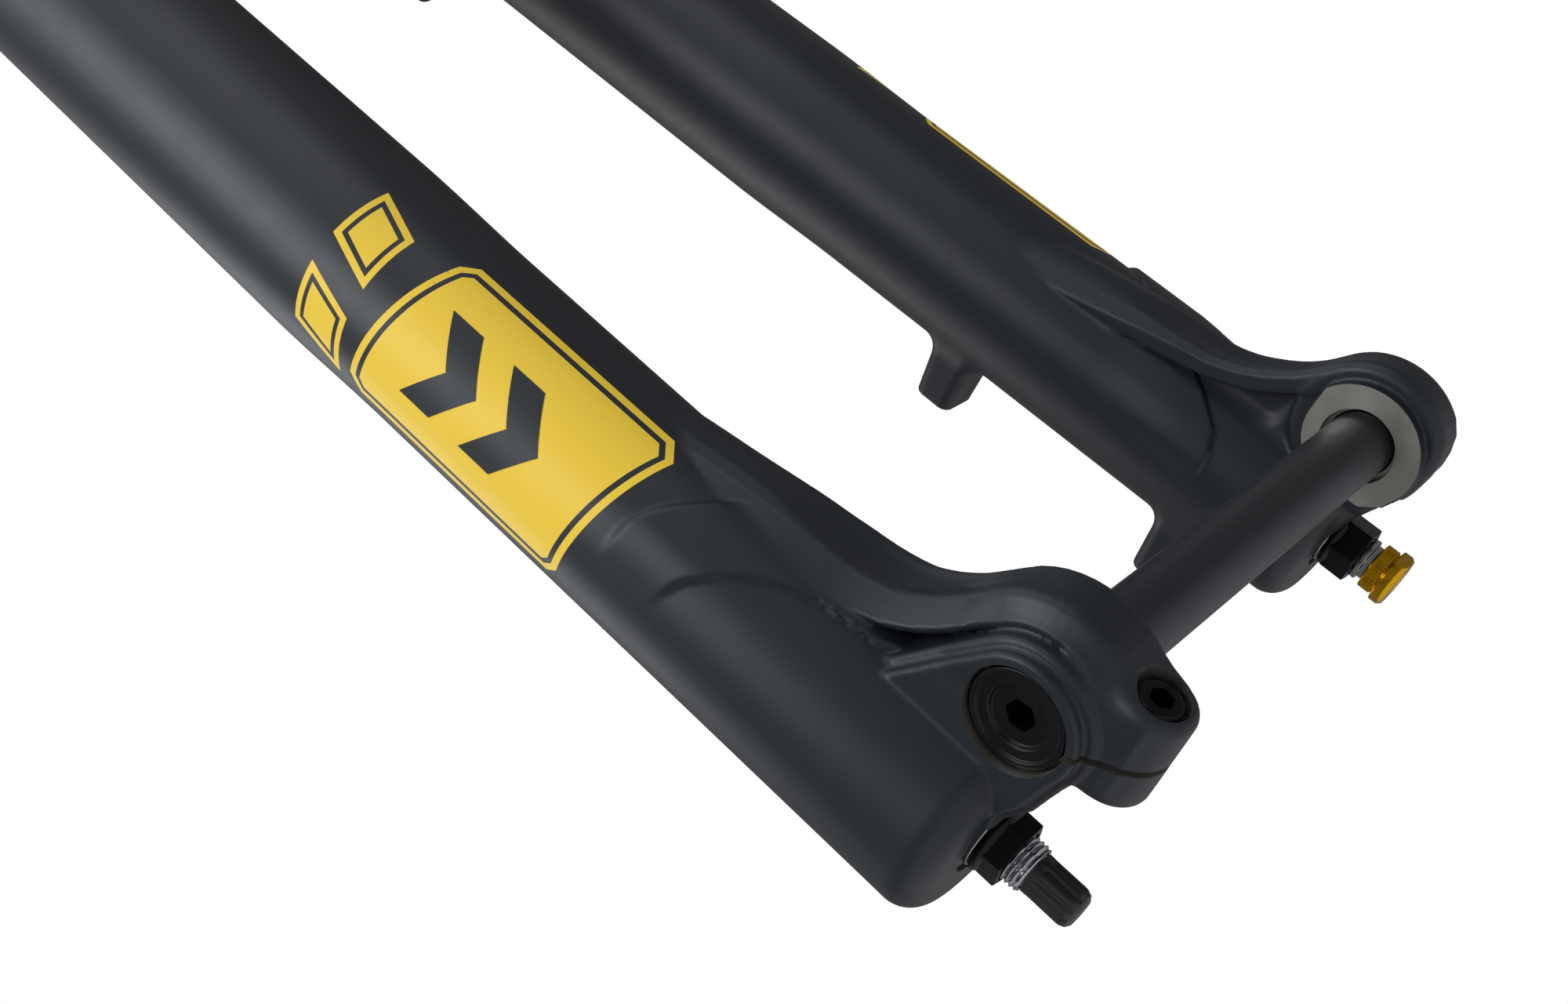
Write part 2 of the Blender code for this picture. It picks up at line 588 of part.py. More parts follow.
def make_air_spring():
    fit_r = STANCHION_BORE_R - FIT
    head_low = STANCHION_BOTTOM + 0.004
    head_top = head_low + AIR_HEAD_HEIGHT
    shaft_bore = AIR_SHAFT_R + FIT
    on_leg(sleeve("air_seal_head", fit_r, shaft_bore, head_top, head_low, SEG_MEDIUM, "black_anodised"),
           RIGHT)
    on_leg(sleeve("air_seal_clip", fit_r, fit_r - 0.0020, head_low - FIT, head_low - FIT - CLIP_HEIGHT,
                  SEG_MEDIUM, "bright_steel"), RIGHT)
    spring_low = head_top + FIT
    spring_r = (STANCHION_BORE_R + AIR_SHAFT_R) / 2
    rise = TOP_OUT_LENGTH - 2 * TOP_OUT_WIRE
    steps = TOP_OUT_TURNS * 12
    coil = [(spring_r * math.cos(2 * math.pi * TOP_OUT_TURNS * i / steps),
             spring_r * math.sin(2 * math.pi * TOP_OUT_TURNS * i / steps),
             spring_low + TOP_OUT_WIRE + rise * i / steps) for i in range(steps + 1)]
    on_leg(wire("top_out_spring", coil, TOP_OUT_WIRE, "bright_steel"), RIGHT)
    low = spring_low + TOP_OUT_LENGTH + FIT + 0.0002
    top = low + AIR_PISTON_HEIGHT
    groove = fit_r - 0.0030
    piston = turned("air_piston", [
        (fit_r, top), (fit_r, top - 0.006), (groove, top - 0.006), (groove, top - 0.010), (fit_r, top - 0.010),
        (fit_r, low), (shaft_bore, low), (shaft_bore, top)], SEG_MEDIUM, "bare_aluminium", ring=True)
    on_leg(piston, RIGHT)
    on_leg(sleeve("air_piston_seal", fit_r, groove + FIT, top - 0.006 - FIT, top - 0.010 + FIT, SEG_MEDIUM,
                  "rubber"), RIGHT)
    bore = AIR_SHAFT_R - AIR_SHAFT_WALL
    collar_low = LEG_FLOOR_TOP + FIT
    shaft = turned("air_shaft", [
        (AIR_SHAFT_R, top), (AIR_SHAFT_R, collar_low), (FOOT_THREAD_R, collar_low),
        (FOOT_THREAD_R, AIR_THREAD_END), (RAMP_STUB_R, AIR_THREAD_END), (RAMP_STUB_R, CAP_FOOT + 0.003),
        (RAMP_BORE_R, CAP_FOOT + 0.003), (RAMP_BORE_R, collar_low + 0.006), (bore, collar_low + 0.008),
        (bore, top)], SEG_MEDIUM, "bare_aluminium", ring=True)
    on_leg(shaft, RIGHT)
    ramp_top = top - 0.006
    ramp_height = 0.014
    ramp_groove = bore - FIT - 0.0016
    ramp = turned("ramp_up_piston", [
        (0, ramp_top), (bore - FIT, ramp_top), (bore - FIT, ramp_top - 0.005), (ramp_groove, ramp_top - 0.005),
        (ramp_groove, ramp_top - 0.008), (bore - FIT, ramp_top - 0.008), (bore - FIT, ramp_top - ramp_height),
        (0, ramp_top - ramp_height)], SEG_MEDIUM, "plastic")
    on_leg(ramp, RIGHT)
    on_leg(sleeve("ramp_up_seal", bore - FIT, ramp_groove + FIT, ramp_top - 0.005 - FIT,
                  ramp_top - 0.008 + FIT, SEG_MEDIUM, "rubber"), RIGHT)
    on_leg(disc("ramp_valve_core", RAMP_BORE_R - FIT, collar_low + 0.002, CAP_FOOT + 0.0035, SEG_SMALL,
                "bright_steel"), RIGHT)
    foot_nut("air_foot_nut", RIGHT, AIR_NUT_END, 0.0120)
    cap_top = AIR_THREAD_END - FIT
    cap_r = 0.0041
    hollow = RAMP_STUB_R + FIT
    cover = turned("ramp_valve_cap", [
        (0, CAP_FOOT + 0.0022), (hollow, CAP_FOOT + 0.0022), (hollow, cap_top), (cap_r, cap_top),
        (cap_r, CAP_FOOT + 0.0016), (cap_r - 0.0014, CAP_FOOT), (0, CAP_FOOT)], SEG_MEDIUM, "plastic")
    return on_leg(cover, RIGHT)


# ---------------------------------------------------------------- lower legs
ARCH_BACK_Y = LEG_Y - SOCKET_R - ARCH_GAP
ARCH_MID_Y = ARCH_BACK_Y - ARCH_DEPTH / 2
LUG_MID = 0.0093          # middle of the strut outside the hub face
STRUT_THICK = 0.0118


def leg_outside(word):
    """Outer form of one leg, solid, from its collar to its rounded foot."""
    knee_low, knee_high = (AXLE_Z + h for h in KNEE_HEIGHTS)
    collar_low = LEG_TOP - COLLAR_HEIGHT
    foot = LEG_FOOT_R
    round_r = 0.006
    curve = [(foot - round_r + round_r * math.cos(a), LEG_FOOT + round_r - round_r * math.sin(a))
             for a in (math.radians(30 * i) for i in range(1, 4))]
    profile = [(0, LEG_TOP), (LEG_COLLAR_R - 0.001, LEG_TOP), (LEG_COLLAR_R, LEG_TOP - 0.001),
               (LEG_COLLAR_R, collar_low), (LEG_SHAFT_R, collar_low - 0.016), (LEG_SHAFT_R, knee_high),
               (LEG_KNEE_R, knee_low), (foot, LEG_FOOT + round_r)]
    return turned("leg_outside_" + word, profile + curve + [(0, LEG_FOOT)], SEG_LARGE)


def leg_bore(word):
    """Everything bored out of one leg: wiper seat, foam groove, bushing seats and the foot's hole."""
    seat_low = LEG_TOP - WIPER_SEAT_DEPTH
    groove_low = seat_low - FOAM_HEIGHT - 2 * FIT
    floor = LEG_FLOOR_TOP
    shaft_clear = STANCHION_R + 0.0005
    lower_seat = STANCHION_BOTTOM + 0.006
    profile = [
        (0, LEG_TOP + 0.01), (WIPER_SEAT_R, LEG_TOP + 0.01), (WIPER_SEAT_R, seat_low),
        (FOAM_R + FIT, seat_low), (FOAM_R + FIT, groove_low), (LEG_BORE_R, groove_low),
        (LEG_BORE_R, lower_seat), (shaft_clear, lower_seat), (shaft_clear, floor), (FOOT_HOLE_R, floor),
        (FOOT_HOLE_R, LEG_FOOT + SPOT_DEPTH), (SPOT_FACE_R, LEG_FOOT + SPOT_DEPTH),
        (SPOT_FACE_R, LEG_FOOT - 0.01), (0, LEG_FOOT - 0.01)]
    return turned("leg_bore_" + word, profile, SEG_LARGE)


def strut_outline():
    """Side view (forward of the axle, above the axle) of the strut that carries the axle's lug."""
    inside = LUG_R - 0.0007
    tangent = arc((0, 0), inside, 180, 140, 4)
    front = [(-0.0090, 0.0170), (-0.0022, 0.0245), (0.0010, 0.0295), (0.0035, 0.0350), (0.0048, 0.0410),
             (0.0059, 0.0600), (0.0072, 0.0720), (0.0105, 0.0980)]
    back = [(AXLE_LEAD, 0.0980), (AXLE_LEAD, -0.0035), (0.0200, -0.0060), (0.0135, -0.0120)]
    chin = arc((0, 0), inside, 305, 185, 10)
    return tangent + front + back + chin


def make_arch():
    """Front arch that ties the legs, as a band seen from the front."""
    under = LEG_TOP + ARCH_RISE
    top = under + ARCH_THICK
    foot_low = LEG_TOP - COLLAR_HEIGHT - 0.010
    outer_x = LEG_X + 0.012
    inner_x = LEG_X - 0.017
    points = [(-outer_x, foot_low), (-inner_x, foot_low - 0.004), (-inner_x, LEG_TOP)]
    points += [(-inner_x + 0.012, LEG_TOP + 0.020), (-inner_x + 0.032, under - 0.004), (0, under)]
    points += [(inner_x - 0.032, under - 0.004), (inner_x - 0.012, LEG_TOP + 0.020)]
    points += [(inner_x, LEG_TOP), (inner_x, foot_low - 0.004), (outer_x, foot_low)]
    points += [(outer_x, LEG_TOP + 0.006)]
    points += [(outer_x - 0.014, LEG_TOP + 0.028), (inner_x - 0.018, top - 0.005), (0, top)]
    points += [(-inner_x + 0.018, top - 0.005), (-outer_x + 0.014, LEG_TOP + 0.028)]
    points += [(-outer_x, LEG_TOP + 0.006)]
    arch = outline("arch", points, ARCH_DEPTH)
    arch.rotation_euler = (math.pi / 2, 0, 0)
    return place(arch, 0, ARCH_MID_Y)


def make_lug(side, word, reach):
    """Lug round the axle, domed outside, with a machined ring against the hub."""
    profile = [(0, reach), (AXLE_RECESS_R + 0.0022, reach), (0.0150, reach - 0.0050),
               (0.0185, reach - 0.0110), (LUG_R, reach - 0.0130), (LUG_R, RING_HEIGHT),
               (LUG_INNER_R, RING_HEIGHT), (LUG_INNER_R, 0), (0, 0)]
    lug = turned("lug_" + word, profile, SEG_LARGE)
    return along_x(lug, side * HUB_X, AXLE_Y, AXLE_Z, side)


def make_strut(side, word):
    strut = outline("strut_" + word, strut_outline(), STRUT_THICK)
    turn = Matrix(((0, 0, 1), (1, 0, 0), (0, 1, 0))).to_4x4()
    strut.matrix_world = Matrix.Translation((side * (HUB_X + LUG_MID), AXLE_Y, AXLE_Z)) @ turn
    return strut


def make_casting():
    """Both legs, arch, dropouts and brake posts: one casting, bored and faced."""
    casting = leg_outside("left")
    CUTTERS.objects.unlink(casting)
    FORK.objects.link(casting)
    casting.name = "lower_casting"
    casting.hide_render = False
    casting.display_type = "TEXTURED"
    casting.data.materials.append(make_material("lower_casting", *FINISHES["painted_magnesium"]))
    on_leg(casting, LEFT)
    solids = [on_leg(leg_outside("right"), RIGHT), make_arch(), guide_boss()]
    for side, word, reach in ((LEFT, "left", LEFT_LUG_REACH), (RIGHT, "right", LUG_REACH)):
        pad_x = side * LEG_X
        solids.append(box(
            "arch_root_" + word, (pad_x - 0.0115, ARCH_BACK_Y - 0.002, LEG_TOP - COLLAR_HEIGHT - 0.008),
            (pad_x + 0.0115, LEG_Y - 0.012, LEG_TOP - 0.001)))
        solids += [make_lug(side, word, reach), make_strut(side, word)]
    boss = disc("pinch_boss", PINCH_BOSS_R, PINCH_HEAD_FACE + 0.0005, -0.0080, SEG_MEDIUM)
    solids.append(along_y(boss, PINCH_X, AXLE_Y, PINCH_Z))
    post_heights = (("upper", POST_UPPER_HEIGHT), ("lower", POST_UPPER_HEIGHT - POST_SPACING))
    solids += [make_post(word, height) for word, height in post_heights]
    join(casting, *solids)
    head_bore = turned("axle_head_bore", [
        (0, LUG_REACH + 0.01), (AXLE_RECESS_R, LUG_REACH + 0.01), (AXLE_RECESS_R, LUG_REACH - 0.006),
        (AXLE_HEAD_R + FIT, LUG_REACH - 0.006), (AXLE_HEAD_R + FIT, -0.005), (0, -0.005)], SEG_MEDIUM)
    thread_bore = disc("axle_thread_bore", AXLE_R + FIT, LEFT_LUG_REACH + 0.01, -0.005, SEG_MEDIUM)
    slit_y = AXLE_Y - 0.001
    slit = box("pinch_slit", (-HUB_X - 0.030, slit_y - SLIT_WIDTH / 2, AXLE_Z - 0.030),
               (-HUB_X + 0.005, slit_y + SLIT_WIDTH / 2, AXLE_Z - AXLE_HEAD_R + 0.002))
    bolt_hole = turned("pinch_hole", [
        (0, 0.030), (PINCH_HEAD_R + 0.0004, 0.030), (PINCH_HEAD_R + 0.0004, PINCH_HEAD_SEAT),
        (PINCH_R + FIT, PINCH_HEAD_SEAT), (PINCH_R + FIT, -0.0062), (0, -0.0062)], SEG_MEDIUM)
    cut(casting, on_leg(leg_bore("left"), LEFT), on_leg(leg_bore("right"), RIGHT), slit,
        along_x(head_bore, -HUB_X, AXLE_Y, AXLE_Z, -1), along_x(thread_bore, HUB_X, AXLE_Y, AXLE_Z, 1),
        along_y(bolt_hole, PINCH_X, AXLE_Y, PINCH_Z), *post_holes(post_heights), guide_thread())
    return casting


def make_post(word, height):
    """Brake post: a rounded block behind the leg with a blind threaded hole in its flat face."""
    centre = Vector((LEG_X - POST_IN, LEG_Y, AXLE_Z + height))
    half_w, half_h, corner = POST_WIDTH / 2, POST_HEIGHT / 2, 0.003
    points = (arc((half_w - corner, half_h - corner), corner, 0, 90, 3)
              + arc((corner - half_w, half_h - corner), corner, 90, 180, 3)
              + arc((corner - half_w, corner - half_h), corner, 180, 270, 3)
              + arc((half_w - corner, corner - half_h), corner, 270, 360, 3))
    length = POST_FACE - 0.012
    post = outline("post_" + word, points, length)
    post.rotation_euler = (math.pi / 2, 0, 0)
    place(post, centre.x, centre.y + POST_FACE - length / 2, centre.z)
    return post


def post_holes(heights):
    return [along_y(disc("post_hole_" + word, POST_HOLE_R, 0.010, -0.010, SEG_SMALL),
                    LEG_X - POST_IN, LEG_Y + POST_FACE, AXLE_Z + height) for word, height in heights]


PINCH_HEAD_R = 0.0043
PINCH_HEAD_HEIGHT = 0.0050
PINCH_HEAD_SEAT = 0.0092  # forward of the axle
PINCH_HEAD_FACE = PINCH_HEAD_SEAT + FIT + PINCH_HEAD_HEIGHT
PINCH_LENGTH = 0.0145
PINCH_HEX = 0.0040
PINCH_X = -(HUB_X + PINCH_IN)
PINCH_Z = AXLE_Z - PINCH_DROP


def make_axle():
    """Through axle: head clamped in the right dropout, thread in the left one."""
    head_end = LUG_REACH - 0.0012
    tail = -(HUB_WIDTH + LEFT_LUG_REACH - 0.0010)
    bore = 0.0045
    profile = [
        (0, head_end), (AXLE_HEAD_R - 0.0006, head_end), (AXLE_HEAD_R, head_end - 0.0006),
        (AXLE_HEAD_R, 0.0030), (AXLE_R, 0.0022), (AXLE_R, tail + 0.001), (AXLE_R - 0.001, tail),
        (bore, tail), (bore, 0.002), (0, 0.004)]
    axle = turned("axle", profile, SEG_MEDIUM, "axle_anodised")
    along_x(axle, -HUB_X, AXLE_Y, AXLE_Z, -1)
    key = prism("axle_hex", AXLE_HEX, head_end + 0.005, head_end - 0.008)
    cut(axle, along_x(key, -HUB_X, AXLE_Y, AXLE_Z, -1))


def make_pinch_bolt():
    seat = PINCH_HEAD_SEAT + FIT
    profile = [
        (0, PINCH_HEAD_FACE), (PINCH_HEAD_R - 0.0004, PINCH_HEAD_FACE), (PINCH_HEAD_R, PINCH_HEAD_FACE - 0.0004),
        (PINCH_HEAD_R, seat), (PINCH_R, seat), (PINCH_R, seat - PINCH_LENGTH), (0, seat - PINCH_LENGTH)]
    bolt = turned("pinch_bolt", profile, SEG_MEDIUM, "black_steel")
    middle = (PINCH_X, AXLE_Y, PINCH_Z)
    along_y(bolt, *middle)
    key = prism("pinch_hex", PINCH_HEX, PINCH_HEAD_FACE + 0.003, PINCH_HEAD_FACE - 0.0028)
    cut(bolt, along_y(key, *middle))


# ---------------------------------------------------------------- wear parts of the lower legs
UPPER_BUSHING_TOP = LEG_TOP - WIPER_SEAT_DEPTH - FOAM_HEIGHT - 0.004
LOWER_BUSHING_TOP = STANCHION_BOTTOM + 0.010 + BUSHING_LENGTH


def make_wear_parts(side, word):
    for height_word, top in (("upper", UPPER_BUSHING_TOP), ("lower", LOWER_BUSHING_TOP)):
        on_leg(sleeve("bushing_%s_%s" % (height_word, word), BUSHING_R, STANCHION_R + FIT, top,
                      top - BUSHING_LENGTH, SEG_LARGE, "bushing_liner"), side)
    seat_low = LEG_TOP - WIPER_SEAT_DEPTH
    on_leg(sleeve("foam_ring_" + word, FOAM_R, STANCHION_R + FIT, seat_low - FIT, seat_low - FIT - FOAM_HEIGHT,
                  SEG_LARGE, "foam"), side)
    body_r = WIPER_SEAT_R - FIT
    flange_r = LEG_COLLAR_R - 0.0010
    groove_r = STANCHION_R + 0.0030
    inner = STANCHION_R + FIT
    wiper = turned("dust_wiper_" + word, [
        (groove_r, WIPER_TOP), (groove_r, WIPER_TOP - 0.0012), (groove_r - 0.0008, WIPER_TOP - 0.0014),
        (groove_r - 0.0008, WIPER_TOP - 0.0028), (flange_r, WIPER_TOP - 0.0032), (flange_r, LEG_TOP + FIT),
        (body_r, LEG_TOP + FIT), (body_r, seat_low + FIT), (inner + 0.0015, seat_low + FIT),
        (inner + 0.0015, LEG_TOP), (inner, LEG_TOP + 0.001), (inner, WIPER_TOP)], SEG_LARGE, "rubber", ring=True)
    on_leg(wiper, side)
    spring_r = 0.0005
    middle_r = groove_r - 0.0008 + FIT / 2 + spring_r
    section = [(middle_r + spring_r * math.cos(a), WIPER_TOP - 0.0021 - spring_r * math.sin(a))
               for a in (math.radians(90 * i) for i in range(4))]
    on_leg(turned("wiper_spring_" + word, section, SEG_LARGE, "bright_steel", ring=True), side)


def make_sag_ring():
    """Rubber ring on the right stanchion that marks how far the fork has moved."""
    wire_r = 0.0011
    middle_r = STANCHION_R + FIT + wire_r
    height = WIPER_TOP + FIT + wire_r
    section = [(middle_r + wire_r * math.cos(a), height - wire_r * math.sin(a))
               for a in (math.radians(60 * i) for i in range(6))]
    on_leg(turned("sag_ring", section, SEG_LARGE, "rubber", ring=True), RIGHT)


# ---------------------------------------------------------------- brake hose guide
GUIDE_Z = LEG_TOP - 0.020
GUIDE_BORE_R = 0.0034
GUIDE_WALL = 0.0018
GUIDE_SCREW_R = 0.0015
GUIDE_BASE = LEG_Y + LEG_COLLAR_R + 0.0015
GUIDE_THREAD_DEPTH = 0.0045   # stops short of the foam ring's groove


def guide_boss():
    return box("guide_boss", (LEG_X - 0.005, LEG_Y + 0.015, GUIDE_Z - 0.006),
               (LEG_X + 0.005, GUIDE_BASE, GUIDE_Z + 0.006))


def guide_thread():
    hole = disc("guide_thread", GUIDE_SCREW_R + FIT, 0.0035, -GUIDE_THREAD_DEPTH, SEG_SMALL)
    return along_y(hole, LEG_X, GUIDE_BASE, GUIDE_Z)


def make_hose_guide():
    """Clip behind the left leg: a screwed tab with a ring for the brake hose beside it."""
    ring_r = GUIDE_BORE_R + GUIDE_WALL
    side_x = -0.0135
    low = GUIDE_BASE + FIT
    ring = sleeve("hose_guide", ring_r, GUIDE_BORE_R, 0.005, -0.005, SEG_MEDIUM, "plastic")
    place(ring, LEG_X + side_x, low + ring_r, GUIDE_Z)
    tab = box("guide_tab", (LEG_X + side_x + GUIDE_BORE_R + 0.0008, low, GUIDE_Z - 0.005),
              (LEG_X + 0.005, low + 0.0025, GUIDE_Z + 0.005))
    join(ring, tab)
    hole = disc("guide_hole", GUIDE_SCREW_R + FIT, 0.01, -0.01, SEG_SMALL)
    cut(ring, along_y(hole, LEG_X, low, GUIDE_Z))
    head_r, head_height = 0.0027, 0.0020
    face = 0.0025 + FIT
    screw = turned("hose_guide_screw", [
        (0, face + head_height), (head_r - 0.0005, face + head_height), (head_r, face + head_height - 0.0008),
        (head_r, face), (GUIDE_SCREW_R, face), (GUIDE_SCREW_R, -0.003), (0, -0.003)], SEG_SMALL, "black_steel")
    screw.rotation_euler = (-math.pi / 2, 0, 0)
    place(screw, LEG_X, low, GUIDE_Z)
    key = prism("guide_hex", 0.0020, face + head_height + 0.002, face + head_height - 0.0012)
    key.rotation_euler = (-math.pi / 2, 0, 0)
    cut(screw, place(key, LEG_X, low, GUIDE_Z))


# ---------------------------------------------------------------- assembly
make_steerer()
make_crown()
for leg_side, leg_word in SIDES:
    make_stanchion(leg_side, leg_word)
    make_wear_parts(leg_side, leg_word)
make_damper_top()
make_air_top()
make_damper_shaft(make_damper())
make_air_spring()
make_casting()
make_axle()
make_pinch_bolt()
make_sag_ring()
make_hose_guide()
for piece in FORK.objects:
    if piece.type == "MESH":
        shade(piece)
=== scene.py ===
"""Looks for an air-sprung mountain-bike suspension fork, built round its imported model.

Cast, forged and turned pieces are made as fine meshes in millimetres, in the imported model's own frame:
+Z up along the steerer, +X to the rider's left, -Y the way the bike rides. Each rides on its body.
"""
import json
import math

import bmesh
import bpy
import numpy as np
from mathutils import Matrix, Vector


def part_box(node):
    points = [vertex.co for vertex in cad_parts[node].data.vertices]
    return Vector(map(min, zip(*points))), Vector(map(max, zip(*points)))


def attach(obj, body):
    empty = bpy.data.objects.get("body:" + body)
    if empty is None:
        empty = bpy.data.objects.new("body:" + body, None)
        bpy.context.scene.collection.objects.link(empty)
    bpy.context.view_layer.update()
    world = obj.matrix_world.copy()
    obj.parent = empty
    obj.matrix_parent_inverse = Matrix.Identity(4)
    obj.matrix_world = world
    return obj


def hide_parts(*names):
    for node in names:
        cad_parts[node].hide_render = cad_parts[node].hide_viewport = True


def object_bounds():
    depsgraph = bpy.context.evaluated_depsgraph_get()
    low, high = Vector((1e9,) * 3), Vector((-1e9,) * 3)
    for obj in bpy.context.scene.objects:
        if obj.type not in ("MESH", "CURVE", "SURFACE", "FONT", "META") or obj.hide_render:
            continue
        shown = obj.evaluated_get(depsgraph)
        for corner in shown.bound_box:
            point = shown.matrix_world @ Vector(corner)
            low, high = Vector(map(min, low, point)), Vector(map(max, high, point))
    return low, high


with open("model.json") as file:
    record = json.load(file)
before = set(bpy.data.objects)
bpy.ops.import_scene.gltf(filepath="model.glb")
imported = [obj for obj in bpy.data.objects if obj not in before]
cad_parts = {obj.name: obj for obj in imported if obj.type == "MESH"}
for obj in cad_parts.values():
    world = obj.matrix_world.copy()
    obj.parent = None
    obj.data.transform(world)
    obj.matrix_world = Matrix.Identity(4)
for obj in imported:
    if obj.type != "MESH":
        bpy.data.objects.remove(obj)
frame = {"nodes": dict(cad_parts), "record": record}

CAD_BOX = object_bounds()
MM = 0.001
FIT = 0.3                        # clearance between pieces that touch
LEFT, RIGHT = 1, -1
SIDES = ((LEFT, "left"), (RIGHT, "right"))


# ---------------------------------------------------------------- places, read from the frame, in mm
def node_box(node):
    low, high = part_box(node)
    return [value / MM for value in low], [value / MM for value in high]


def node_middle(node):
    low, high = node_box(node)
    return [(a + b) / 2 for a, b in zip(low, high)]


def mount_place(name):
    mount = next(m for m in frame["record"]["mounts"] if m["name"] == name)
    return [value / MM for value in mount["pos_m"]]


LEG_X, LEG_Y, _ = node_middle("stanchion_left")
AXLE_Y, AXLE_Z = node_middle("axle")[1:]
HUB_X = mount_place("hub_face_left")[0]
LEG_U = LEG_X - HUB_X            # leg's axis outside the hub face
LEG_V = AXLE_Y - LEG_Y           # leg's axis ahead of the axle (negative: behind it)
STANCHION_R = (node_box("stanchion_left")[1][0] - node_box("stanchion_left")[0][0]) / 2
WIPER_TOP = node_box("dust_wiper_left")[1][2]
WIPER_LIP = 4.5
LEG_TOP = WIPER_TOP - WIPER_LIP
POST_Z = [mount_place("brake_post_upper")[2], mount_place("brake_post_lower")[2]]
POST_X = mount_place("brake_post_upper")[0] - 5.5
POST_FACE_Y = mount_place("brake_post_upper")[1]
FOOT_W = -5.0                    # foot's face below the axle
LEG_FLOOR_W = 7.0                # inside bottom of a leg
SPLIT_W = 285.0                  # where the arch piece of the casting begins
SLIDE_GAP, BUSHING_GAP, FOAM_GAP, WIPER_GAP = 0.5, 1.6, 3.2, 4.7   # bores of a leg round its stanchion
HUB_FACE_REACH = 15.2            # milled flat of a dropout, from the axle's centre
SLIT_WIDTH, SLIT_LEAN = 1.4, -13
PINCH_HEAD = 5.0                 # height of the pinch bolt's head
NUT_FLANGE_R, NUT_BORE_R = 7.3, 5.3
THREAD_R, THREAD_PITCH = 5.0, 1.0
LUG_CELL, TUBE_CELL, ARCH_CELL = 0.6, 3.0, 1.0   # spacing of the grids that the castings are drawn from


# ---------------------------------------------------------------- small mesh tools
def mesh_object(name, points, faces):
    """Mesh object from points in mm and faces."""
    mesh = bpy.data.meshes.new(name)
    points = np.asarray(points, np.float64) * MM
    if isinstance(faces, np.ndarray):
        mesh.vertices.add(len(points))
        mesh.vertices.foreach_set("co", points.astype(np.float32).ravel())
        mesh.loops.add(faces.size)
        mesh.loops.foreach_set("vertex_index", faces.astype(np.int32).ravel())
        mesh.polygons.add(len(faces))
        mesh.polygons.foreach_set("loop_start", np.arange(0, faces.size, faces.shape[1], dtype=np.int32))
        mesh.update(calc_edges=True)
    else:
        mesh.from_pydata([tuple(p) for p in points], [], faces)
    obj = bpy.data.objects.new(name, mesh)
    bpy.context.scene.collection.objects.link(obj)
    return obj


def soften(profile, radius=0.4, steps=3):
    """Round the corners of a (radius, height) profile; points on the axis stay."""
    rounded = []
    count = len(profile)
    for i, (r, z) in enumerate(profile):
        corner = Vector((r, z))
        before, after = Vector(profile[i - 1]) - corner, Vector(profile[(i + 1) % count]) - corner
        reach = min(radius, 0.45 * before.length, 0.45 * after.length)
        if r == 0 or reach < 0.02:
            rounded.append((r, z))
            continue
        first, last = corner + before.normalized() * reach, corner + after.normalized() * reach
        for step in range(steps + 1):
            t = step / steps
            point = first * (1 - t) ** 2 + corner * 2 * t * (1 - t) + last * t * t
            rounded.append((max(point.x, 0.0), point.y))
    return rounded


def turned(name, profile, segments=96, shape=None, rounding=0.4):
    """Turn a closed (radius, height) profile round Z, running down its outer side.

    shape(angle, radius, height) may change the radius, for ribs and flutes.
    """
    outline = soften(profile, rounding) if rounding else list(profile)
    radii, heights = np.array(outline).T
    angles = np.linspace(0, 2 * math.pi, segments, endpoint=False)
    grid_r = np.repeat(radii[:, None], segments, 1)
    if shape:
        grid_r = shape(angles[None, :], grid_r, heights[:, None])
    points = np.stack([grid_r * np.cos(angles), grid_r * np.sin(angles),
                       np.repeat(heights[:, None], segments, 1)], -1).reshape(-1, 3)
    rows = len(outline)
    faces = []
    for i in range(rows):
        j = (i + 1) % rows
        if radii[i] == 0 and radii[j] == 0:
            continue
        for k in range(segments):
            n = (k + 1) % segments
            faces.append((i * segments + k, j * segments + k, j * segments + n, i * segments + n))
    obj = mesh_object(name, points, faces)
    form = bmesh.new()
    form.from_mesh(obj.data)
    bmesh.ops.remove_doubles(form, verts=form.verts, dist=1e-7)
    bmesh.ops.dissolve_degenerate(form, edges=form.edges, dist=1e-8)
    bmesh.ops.recalc_face_normals(form, faces=form.faces)
    form.to_mesh(obj.data)
    form.free()
    return obj


def bar(name, across_flats, top, bottom, sides=6, turn=0.0):
    """Hexagonal bar along Z."""
    radius = across_flats / 2 / math.cos(math.pi / sides)
    turns = [turn + 2 * math.pi * i / sides for i in range(sides)]
    ring = [(radius * math.cos(a), radius * math.sin(a)) for a in turns]
    points = [(x, y, bottom) for x, y in ring] + [(x, y, top) for x, y in ring]
    faces = [tuple(range(sides - 1, -1, -1)), tuple(range(sides, 2 * sides))]
    faces += [(i, (i + 1) % sides, sides + (i + 1) % sides, sides + i) for i in range(sides)]
    return mesh_object(name, points, faces)


def block(name, low, high, bevel=0.0):
    obj = mesh_object(name, [(x, y, z) for x in (low[0], high[0]) for y in (low[1], high[1])
                             for z in (low[2], high[2])],
                      [(0, 1, 3, 2), (4, 6, 7, 5), (0, 4, 5, 1), (2, 3, 7, 6), (0, 2, 6, 4), (1, 5, 7, 3)])
    if bevel:
        modifier = obj.modifiers.new("edges", "BEVEL")
        modifier.width, modifier.segments = bevel * MM, 3
        settle(obj)
    return obj


